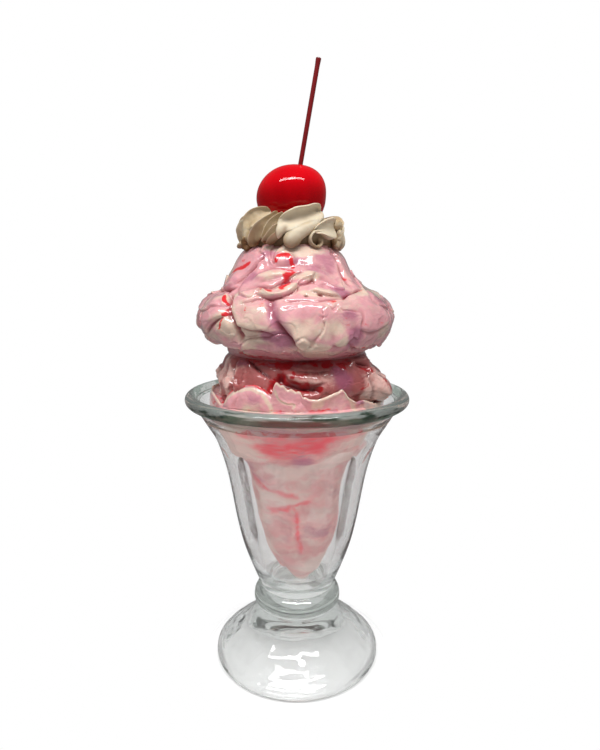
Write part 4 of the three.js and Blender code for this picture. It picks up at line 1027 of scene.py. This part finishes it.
def buildFilling():
    # The torn edge and the contact with the glass as functions of the angle,
    # the rows from them, then modelling and paint. Each paint layer takes the
    # largest of its shares.
    v = filling
    turn = frontTurns(v["columns"])
    angle = turnBetween(0, turn / degree)
    edge = splineThrough(v["top"], 8)
    dome = stretch(angle, *v["dome"])
    torn = softNoise(turned(v["wallRadius"], 0, turn) * [1, -1, 1], 2.6, 41, 2)
    top = np.interp(angle, edge[:, 0], edge[:, 1]) + v["torn"] * (1 - 0.8 * dome) * torn
    contact = np.clip(sum(sector(angle, *turns) for turns in v["contact"]), 0, 1)
    lowest = 100 + 4.2 * stretch(angle, *v["highContact"]) + 3 * (1 - contact)
    r, z, shift, kinds, outer = fillingRows(v, turn, angle, top, dome, contact, lowest)
    place = turned(r, z, turn)

    # folds and strokes on the collar, laid out as a flat wall
    wallScale = np.array([v["wallRadius"] * degree, 1])
    front = np.flatnonzero(np.abs(angle) < 78)
    here = np.ix_(np.flatnonzero(((z > 117) & (r > 30)).any(axis=1)), front)
    wall = np.stack([angle + 0 * z, z], axis=-1)[here] * wallScale
    flat = np.stack(np.broadcast_arrays(v["wallRadius"] * turn, z, 0), axis=-1)
    wobble = 0.25 * softNoise(flat, 3, 43, 2)[here]
    lift = np.zeros_like(r)
    paint = {layer: np.zeros_like(r) for layer in ("red", "mauve", "cream")}
    for points, rise, width, edge in v["folds"]:
        side, along, length = besideCurve(wall, points * wallScale)[:3]
        side = side + wobble
        shelf = shelfProfile(side, width, edge) - 0.2 * bell(side + 0.2, 0.5)
        lift[here] += rise * endFade(along, length, 1.5) * shelf
    for layer, points, width, strength in v["strokes"]:
        side, along, length = besideCurve(wall, points * wallScale)[:3]
        stroke = strength * endFade(along, length, 1.5) * bell(side + wobble, width)
        paint[layer][here] = np.maximum(paint[layer][here], stroke)

    # a bent and an upright red streak, and spots, at the front of the plug
    here = np.ix_(np.flatnonzero((z.mean(axis=1) < 98) & (r.mean(axis=1) > 3)), front)
    plain = np.stack([(place[..., 0] + shift)[here], z[here]], axis=-1)
    wobble = 0.8 * softNoise(np.concatenate([plain, 0 * plain[..., :1]], axis=-1), 3, 45, 2)
    for points, width, strength in v["streaks"]:
        side, along, length = besideCurve(plain, points)[:3]
        stroke = strength * endFade(along, length, 3) * bell(side + wobble, width)
        paint["red"][here] = np.maximum(paint["red"][here], stroke)

    # the plug is rough, the collar soft
    rough = v["rough"] * softNoise(place, 7, 51, 3) * stretch(z, 36, 42, 94, 99)
    skin = v["soft"] * softNoise(place, 7, 61) + v["fine"] * softNoise(place, 2, 62, 2)
    skin = skin * smooth(z, 116, 118) * (r > 30)
    r = r + (rough + lift + skin) * (r > 1)

    # marbling, the band that is pressed against the glass, painted light beside its pressed part and along the torn
    # edge, and painted shade down inside the collar
    flat = place * [1, 1, 2.5]
    touching = smooth(z, lowest - 5, lowest + 3) * smooth(z, 117, 113)
    swirl = softNoise(flat, 16, 71, 3)
    pressed = sector(angle, *v["pressed"])
    low = smooth(z, lowest - 1, lowest + 9)
    blots = 0.04 + 0.08 * low + 0.62 * pressed * low + 0.42 * softNoise(flat * [1, 1, 1.6], 9, 73, 3)
    sheen = (0.25 + 0.65 * smooth(-swirl, -0.1, 0.7)) * (1 - 0.8 * touching * pressed) * smooth(z, 124, 114)
    # the pale cream beside the pressed part of the band is painted light, and the pale line along the torn edge is a
    # painted highlight
    for layer, added in [
            ("red", touching * blots), ("mauve", 0.5 * smooth(swirl, 0.45, 0.9) * smooth(z, 100, 96)),
            ("mauve", 0.9 * bell(np.hypot(turnBetween(4, angle) * 0.5, z - 100.5), 4.4)), ("cream", sheen),
            ("cream", 0.95 * touching * (1 - pressed) * smooth(z, lowest - 4, lowest)),
            ("cream", 0.9 * bell(top - z - 0.3, 0.4) * (z > 117) * (1 - dome))]:
        paint[layer] = np.maximum(paint[layer], added)
    # painted shade down the inner side of the collar
    depth = 0.8 * smooth(top - z, 1.4, 3.5) * (r < outer - 1.2) * (z > 112)
    marble = np.clip(np.stack([*paint.values(), depth], axis=-1), 0, 1)

    grid = turned(r, z, turn, shift)
    # painted light: the filling behind the glass glows, more round the band that touches the glass, in place of the
    # light the glass holds back
    material = marbledMaterial("dullFillerBehindGlass", {
        "pink": "#dc9a9a", "paleCream": "#e4c8c0", "red": "#ea5c68", "mauve": "#b8788c", "glow": 0.24,
        "bandPaintedGlow": 0.14, "resin": 0.0, "roughness": 0.6, "soft": 0.1, "brush": 3.5, "redFrom": 0.72, "redTo": 1.75})
    addPiece("ice_cream_in_glass", [grid], [material, scoopMaterial], "ice_cream_filling",
             [marble], kinds)


buildFilling()


# Piped cream.

cream = {
    "lean": -2.4, "rows": 54, "columns": 64, "crumb": 0.16, "paintedShadeBelow": 183.6,
    "core": [
        [13, 183], [15.6, 182.2], [17.4, 181], [18.2, 181.4], [18.4, 184], [17.8, 187], [16.4, 190.2],
        [14.8, 192.4], [12.8, 193.8], [11.4, 194], [10.4, 192.4], [7, 189.4],
    ],
    # small holes, painted only as dark brown spots of painted shade: angle, height, half width
    "paintedHoleShade": [(-5.6, 186.9, 1.1), (-33, 183.0, 1.3), (-27.5, 182.2, 1.0)],
    # leaves at the front: section at the foot, section further on, warm tone that is
    # partly painted shade, and the path as angle, radius, height and half width
    "leaves": [
        ("round", "round", 0.8, [(-56, 20.4, 183.4, 1.8), (-53.5, 20.8, 185.4, 2.9), (-51, 20.2, 187.6, 2.6),
            (-48, 19, 189.6, 1.6)]),
        ("round", "fan", 0.5, [(-56, 20.4, 186, 1.6), (-53.5, 20.9, 188.6, 3.0), (-48, 20.2, 191.2, 3.5),
            (-38, 18.4, 193.2, 2.8), (-27, 16.6, 194.3, 1.4)]),
        ("round", "round", 1.5, [(-54, 20.2, 180, 0.8), (-58.6, 20.9, 181.8, 1.9), (-58, 21.2, 183.6, 1.8),
            (-53, 21, 185, 0.9)]),
        ("slat", "slat", 0.6, [(-45.2, 20.6, 180.9, 0.9), (-42, 21.4, 183.8, 1.7), (-36, 21.6, 186.3, 2.2),
            (-28.4, 21.2, 188.6, 2.3), (-20.6, 19.8, 191, 1.9), (-14.5, 17.8, 193.4, 1.0)]),
        ("slat", "slat", 0.5, [(-28.6, 20.8, 183.4, 0.7), (-24.4, 21.3, 185.9, 1.4), (-19.8, 21, 188.6, 1.7),
            (-14, 20, 190.9, 1.4), (-8, 18.2, 192.8, 0.7)]),
        ("slat", "slat", 0.4, [(-28.2, 21.3, 182.2, 0.7), (-21.6, 21.9, 184.3, 1.3), (-16, 21.8, 186.4, 1.5),
            (-11.6, 21, 188.4, 1.0)]),
        ("slat", "slat", 0.45, [(-23.9, 21.2, 181.6, 0.6), (-18.2, 21.6, 183.5, 1.1), (-13.6, 21.5, 185, 1.0),
            (-11.4, 21.1, 186.6, 0.6)]),
        ("drop", "petal", 0.0, [(-12.6, 20.6, 183.6, 0.9), (-10.6, 21.4, 186.4, 1.9), (-3.6, 21.2, 188.9, 3.8),
            (8, 20.8, 190.0, 5.0), (21, 19.8, 191.6, 4.4), (33, 18.4, 193.4, 3.7), (44, 16.8, 194.7, 2.4)]),
        ("drop", "drop", 0.35, [(-0.8, 20.6, 180.3, 1.8), (0.4, 21.6, 182.5, 3.1), (4.4, 21.6, 184.9, 3.2),
            (12, 21.0, 186.6, 2.7), (22, 20.0, 188.4, 2.2), (33, 18.6, 190.4, 1.7), (43, 17.2, 192.0, 0.9)]),
        ("fan", "fan", 0.0, [(25, 20.8, 186.4, 0.8), (32, 21.4, 187.5, 2.0), (40, 21.5, 187.9, 3.3),
            (48, 21.3, 188.0, 3.9), (53.6, 21, 188.1, 3.5)]),
        ("round", "round", 0.6, [(52.6, 20.6, 189.2, 1.2), (58, 21.3, 189.5, 1.9), (64.5, 21.2, 189.8, 1.2)]),
        ("round", "round", 0.25, [(58, 20.4, 180.8, 1.2), (64.4, 21.3, 183.2, 2.3), (63.4, 21.6, 185.8, 2.3),
            (58, 21.2, 187.4, 1.0)]),
    ],
    # leaves behind: first, last and step of their angles, and one path for all
    "backStarts": (72, 290, 21.6),
    "backPath": [(-16, 19.8, 181.4, 1.8), (-9, 21, 183.8, 4.0), (1, 20.8, 186.8, 4.6), (13, 19, 189.6, 3.8),
                 (28, 16, 191.8, 2.4), (40, 14, 192.6, 0.9)],
    # the rolled lip of the right leaf: a thin band along angle and height
    "scroll": [(50, 185.4), (46, 184.2), (41, 184.7), (35.5, 185.8), (30.4, 186.5), (24.6, 186.2), (21, 184.2),
               (22.4, 182.2), (28, 180.9), (33, 181.2), (35.6, 182.6), (33.6, 184.2)],
    "scrollHalfWidth": 1.35, "scrollThick": 0.62,
}
# Sections of a leaf: across in half widths, then outwards in millimetres.
creamSections = {
    "slat": [(1.0, 1.5), (0.93, 1.48), (0.55, 0.5), (0.1, -0.3), (-0.5, -0.8), (-1, -1.1), (-0.9, -2.2), (0, -2.6),
             (0.8, -1.6), (1.05, 0.6)],
    "petal": [(1.0, 1.0), (0.93, 0.95), (0.7, -0.5), (0.35, -1.5), (0.02, -0.9), (-0.3, 0.9), (-0.62, 1.5),
              (-0.9, 0.8), (-1.02, -0.6), (-0.8, -2.0), (0, -2.8), (0.8, -2.0), (1.05, 0.1)],
    "drop": [(1, -0.4), (0.8, 0.8), (0.35, 1.6), (-0.2, 1.7), (-0.7, 1.1), (-1, -0.2), (-0.8, -1.8), (0, -2.4),
             (0.8, -1.8)],
    "round": [(1.0, 0.2), (0.72, 1.0), (0.1, 1.3), (-0.5, 0.9), (-0.95, 0.0), (-0.9, -1.4), (0, -2.4), (0.9, -1.4)],
    "fan": [(1.0, 1.1), (0.92, 1.1), (0.6, 0.2), (0.1, -0.1), (-0.4, 0.3), (-0.85, 1.2), (-1.0, 1.1), (-0.9, -0.6),
            (0, -1.4), (0.9, -0.6), (1.04, 0.4)],
}


def closedSection(name):
    # a section as points at equal distances round its smooth closed outline
    points = creamSections[name]
    curve = splineThrough([*points[-3:], *points, *points[:4]])[3 * 24:-3 * 24]
    return evenly(curve, cream["columns"] + 1)[:-1]


def onAxis(angle, radius, height):
    # a place by its angle in degrees and its radius about the cream's axis
    return turned(radius, height, np.asarray(angle) * degree, cream["lean"])


def outwards(path):
    # level directions away from the cream's axis
    return unit((path - [cream["lean"], 0, 0]) * [1, 1, 0])


def roundedEnds(count, reach):
    # from 0 at both ends of a form to 1, as on a ball
    share = np.linspace(0, 1, count)
    return quarterRise(np.minimum(share, 1 - share) / reach)[:, None, None]


def sweptForm(path, halfWidths, section, seed):
    # The section is carried along the path: its first number goes across, its
    # second outwards from the axis of the cream, and both ends close in a
    # rounded point. Soft noise keeps the skin from being even.
    way = unit(np.gradient(path, axis=0))
    out = outwards(path)
    out = unit(out - (out * way).sum(axis=1, keepdims=True) * way)
    across, out = np.cross(out, way)[:, None], out[:, None]
    close = roundedEnds(len(path), 0.1)
    grid = path[:, None] + close * (section[..., :1] * halfWidths[:, None, None] * across + section[..., 1:] * out)
    crumb = cream["crumb"] * softNoise(grid, 2.2, seed, 2) + 0.25 * softNoise(grid, 6, seed + 3)
    return grid + crumb[..., None] * close * out


def creamShade(grid, out, warmAndShade, red=0.0):
    # red, warm and brown shares: the brown is painted shade in the hollows, low down
    # and round the small holes, and the crests keep no warm tone, as painted highlights
    z = grid[..., 2]
    foot = smooth(z, cream["paintedShadeBelow"] + 1.5, cream["paintedShadeBelow"] - 2)
    hollow = 0.6 * smooth(out, 0.2, -1.8) * (0.5 + 0.5 * min(warmAndShade, 1))
    paintedBrownShade = hollow + (0.25 + 1.0 * warmAndShade) * foot + 0.6 * max(warmAndShade - 1, 0)
    for angle, height, size in cream["paintedHoleShade"]:
        paintedBrownShade = np.maximum(paintedBrownShade, 1.6 * bell(np.linalg.norm(grid - onAxis(angle, 21.4, height), axis=-1), size))
    layers = np.broadcast_arrays(red, warmAndShade * smooth(out, 1.6, 1.0), 0.0, paintedBrownShade)
    return np.clip(np.stack(layers, axis=-1), 0, 1)


def backLeaves():
    # a seeded draw turns and moves the path, and picks the sections
    draw = np.random.default_rng(77)
    between = draw.uniform
    leaves = []
    for angle in np.arange(*cream["backStarts"]):
        start, wide = angle + between(-3, 3), between(0.85, 1.1)
        path = [(start + turn, radius + between(-0.3, 0.3), z + between(-0.3, 0.3), wide * half)
                for turn, radius, z, half in cream["backPath"]]
        foot, further = ("petal", "slat", "round")[draw.integers(3)], ("petal", "slat")[draw.integers(2)]
        leaves.append((foot, further, between(0, 0.7), path))
    return leaves


def buildScroll():
    # a thin band that stands on edge and rolls in on itself
    v = cream
    angle, height = np.array(v["scroll"]).T
    middle = smoothRows(onAxis(angle, np.linspace(21.3, 19.6, len(angle)), height), 120)
    out = outwards(middle)
    flat = unit(np.cross(unit(np.gradient(middle, axis=0)), out))[:, None]
    out = out[:, None]
    ring = circle(v["columns"])[:, None]
    close = roundedEnds(len(middle), 0.05)
    band = middle[:, None] + close * (
        np.cos(ring) * v["scrollHalfWidth"] * out - np.sin(ring) * v["scrollThick"] * flat)
    band = band + 0.1 * close * softNoise(band, 2.2, 300, 2)[..., None] * out
    # painted shade inside the roll and towards its inner end
    inner = 0.5 * smooth(np.linspace(0, 1, len(middle)), 0.62, 0.9)[:, None] + 0.6 * smooth(np.cos(ring.T), 0.5, -0.8)
    return band, creamShade(band, 1.3 - 1.3 * inner, 0.3)


def buildCore():
    # the turned core under the leaves, with a hollow for the cherry
    turn = circle(180)
    rows = np.vstack([[0, 183.5], [0.9 * cream["core"][0][0], 183.2], smoothRows(cream["core"], 60), [0, 188.9]])
    r, z = rows[:, :1], rows[:, 1:]
    core = turned(r, z, turn, cream["lean"])
    core = core + (0.35 * softNoise(core, 4, 131, 2) * smooth(z, 181, 183) * (r > 11))[..., None] * turned(1, 0, turn)
    stained = 0.9 * smooth(z, 193.0, 193.7) * smooth(r, 13.2, 12.2)
    # painted shade: the core is browner low down than near its top
    return core, creamShade(core, -0.6 + 1.1 * smooth(z, 189, 193), 0.5, stained)


def buildCream():
    # leaves swept up to the right over the core, and the scroll
    made = []
    for number, (foot, further, warmAndShade, points) in enumerate(cream["leaves"] + backLeaves()):
        points = np.array(points)
        line = smoothRows(np.hstack([onAxis(*points[:, :3].T), points[:, 3:]]), cream["rows"])
        along = smooth(np.linspace(0, 1, cream["rows"]), 0.12, 0.36)[:, None, None]
        shape = (1 - along) * closedSection(foot) + along * closedSection(further)
        grid = sweptForm(line[:, :3], line[:, 3], shape, 200 + 7 * number)
        made.append((grid, creamShade(grid, shape[..., 1], warmAndShade)))
    grids, marbles = zip(*made, buildScroll(), buildCore())
    addPiece("piped_cream", grids, [siliconeMaterial()], "whipped_cream", marbles)


buildCream()


# Cherry and stem.

cherry = {
    "lean": -2.4, "centre": 201.6, "radius": 14.1, "halfHeight": 12.3, "side": 0.88, "shoulder": 0.94, "dimple": 0.7,
    "stemOffset": 3.8, "stemTilt": 10.1, "stemRadius": 0.95, "stemTop": 254.1,
}


def buildCherry():
    # A ball of revolution with full shoulders: radius and height follow powers
    # of the cosine and sine below 1. A small dimple takes the stem.
    v = cherry
    angle = np.linspace(-90, 90, 200)[:, None] * degree
    r = v["radius"] * np.maximum(np.cos(angle), 0) ** v["side"]
    r[[0, -1]] = 0
    z = v["halfHeight"] * np.sign(angle) * np.abs(np.sin(angle)) ** v["shoulder"]
    grid = turned(r, z, circle(240), 0.4 * v["stemOffset"] * smooth(z, -2, 14))
    away = np.hypot(grid[..., 0] - 0.92 * v["stemOffset"], grid[..., 1])
    grid[..., 2] -= v["dimple"] * bell(away, 2.2) * (z > 5)
    grid += [v["lean"], 0, v["centre"]]
    grid[[0, -1]] = grid[[0, -1]].mean(axis=1, keepdims=True)
    addPiece("gloss_cherry", [grid], [acrylicMaterial()], "cherry")


def buildStem():
    # A straight rod, a little wider at its cut top, carried along its axis.
    v = cherry
    tilt = v["stemTilt"] * degree
    start = np.array([v["lean"] + v["stemOffset"] - 0.9, 0, v["centre"] + 7.6])
    way = np.array([np.sin(tilt), 0, np.cos(tilt)])
    side = np.array([np.cos(tilt), 0, -np.sin(tilt)])
    length = (v["stemTop"] - 0.3 - start[2]) / np.cos(tilt)
    at = np.concatenate([[0], np.linspace(0, length - 0.3, 60), [length - 0.1, length, length]])
    wider = 1 + 0.12 * smooth(np.linspace(0, 1, 60), 0.93, 1)
    radius = v["stemRadius"] * np.concatenate([[0], wider, [1.1, 0.9, 0]])
    turn = circle(24)[:, None]
    ring = radius[:, None, None] * (np.cos(turn) * side + np.sin(turn) * [0, 1, 0])
    grid = start + at[:, None, None] * way + ring
    addPiece("cherry_rod", [grid], [rodMaterial()], "cherry_stem")


buildCherry()
buildStem()


# Floor, light and camera.

studio = {
    "floorRadius": 0.5, "floorFade": (0.031, 0.047), "floorGlow": 0.2, "floorGrey": "#e2e2e2", "behind": 1.0,
    "backWall": 0.75, "front": 0.33, "ceiling": 0.42, "below": 0.64, "sides": 0.52,
    "glassRoom": 0.8, "glassSides": 0.1, "mirrored": 0.23,
    "panelLight": 19.0, "panelDistance": 0.9, "panelSize": (0.66, 0.125), "panelMiddle": 0.15, "panelHeight": 57,
    "panelTurns": (-24, 20), "panelRolls": (-10, 16),
}


def buildFloor():
    # a flat disc about the Z axis that fades out round the glass
    mesh = bpy.data.meshes.new("floor")
    mesh.from_pydata(turned(studio["floorRadius"], 0, circle(64)).tolist(), [], [list(range(64))])
    material, add, place = newMaterial("paleFloor")
    away = add("VectorMath", [place], operation="LENGTH")
    fading = add("MapRange", [away, *studio["floorFade"]], **soft)
    solid = add("BsdfDiffuse", {"Color": colour(studio["floorGrey"])})
    glow = add("Emission", {"Color": (1, 1, 1, 1), "Strength": studio["floorGlow"]})
    lit = add("AddShader", [solid, glow])
    both = add("MixShader", [fading, lit, add("BsdfTransparent")])
    add("OutputMaterial", [both])
    mesh.materials.append(material)
    floor = bpy.data.objects.new("floor", mesh)
    bpy.context.collection.objects.link(floor)


def buildWorld():
    # White where it is seen directly. For everything else a bright wall stands
    # behind, and the room is dark in front of the glass and dim at its sides.
    world = bpy.data.worlds.new("studio")
    world.use_nodes = True
    bpy.context.scene.world = world
    world.node_tree.nodes.clear()
    add = partial(addNode, world.node_tree)
    way = add("TexCoord").outputs["Generated"]
    part = add("SeparateXYZ", [way]).outputs
    side = add("Math", [part["X"]], operation="ABSOLUTE")
    grey = add("MapRange", [part["Y"], -0.2, 0.75, studio["front"], studio["backWall"]], **soft)
    for value, start, end, level in (
            (side, 0.62, 0.9, "sides"), (part["Z"], 0.55, 0.95, "ceiling"), (part["Z"], -0.15, -0.5, "below")):
        amount = add("MapRange", [value, start, end], **soft)
        grey = add("Mix", {0: amount, 2: grey, 3: studio[level]})
    path = add("LightPath").outputs
    mirror = add("Math", [path["Is Glossy Ray"], studio["mirrored"] - 1, 1.0], **multiplyAdd)
    grey = add("Math", [grey, mirror], operation="MULTIPLY")
    # through the glass the room is light, with a dark band at each side
    level = add("Math", [part["Z"], 0.2], operation="SUBTRACT")
    level = add("Math", [level], operation="ABSOLUTE")
    across = add("MapRange", [side, 0.74, 0.88], **soft)
    tall = add("MapRange", [level, 0.45, 0.3], **soft)
    band = add("Math", [across, tall], operation="MULTIPLY")
    through = add("Mix", {0: band, 2: studio["glassRoom"], 3: studio["glassSides"]})
    grey = add("Mix", {0: path["Is Transmission Ray"], 2: grey, 3: through})
    lit, seen = (add("Background", {"Color": (1, 1, 1, 1), "Strength": strength})
                 for strength in (grey, studio["behind"]))
    add("OutputWorld", [add("MixShader", [path["Is Camera Ray"], lit, seen])])


def buildLights():
    # two soft panels side by side, high at the front, with their outer ends a
    # little lower
    away, height = studio["panelDistance"], studio["panelHeight"] * degree
    for name, turn, roll in zip(("panelLeft", "panelRight"), studio["panelTurns"], studio["panelRolls"]):
        light = bpy.data.lights.new(name, "AREA")
        light.shape = "RECTANGLE"
        light.size, light.size_y = studio["panelSize"]
        light.energy = studio["panelLight"] * np.pi * light.size * light.size_y
        panel = bpy.data.objects.new(name, light)
        turn = turn * degree
        panel.matrix_world = (
            Matrix.Translation((away * np.cos(height) * np.sin(turn), -away * np.cos(height) * np.cos(turn),
                                studio["panelMiddle"] + away * np.sin(height)))
            @ Matrix.Rotation(turn, 4, "Z") @ Matrix.Rotation(np.pi / 2 - height, 4, "X")
            @ Matrix.Rotation(-roll * degree, 4, "Z"))
        panel.visible_camera = False
        bpy.context.collection.objects.link(panel)


# focal length, width, height and the column of the glass in dots, place in mm
view = {
    "focal": 550.0, "width": 600, "height": 750, "axisColumn": 297.0, "pitch": 9.7295, "back": 232.34, "up": 168.14,
}


def buildCamera():
    # level with the scoops and looking slightly down
    data = bpy.data.cameras.new("camera")
    data.sensor_width = 36
    data.lens = data.sensor_width * view["focal"] / view["height"]
    data.shift_x = (view["width"] / 2 - view["axisColumn"]) / view["height"]
    data.clip_start, data.clip_end = 0.01, 20
    camera = bpy.data.objects.new("camera", data)
    camera.location = (0, -view["back"] * mm, view["up"] * mm)
    camera.rotation_euler = ((90 - view["pitch"]) * degree, 0, 0)
    bpy.context.collection.objects.link(camera)
    bpy.context.scene.camera = camera


buildFloor()
buildWorld()
buildLights()
buildCamera()
bpy.context.scene.view_settings.view_transform = "Standard"
print("stage ready")
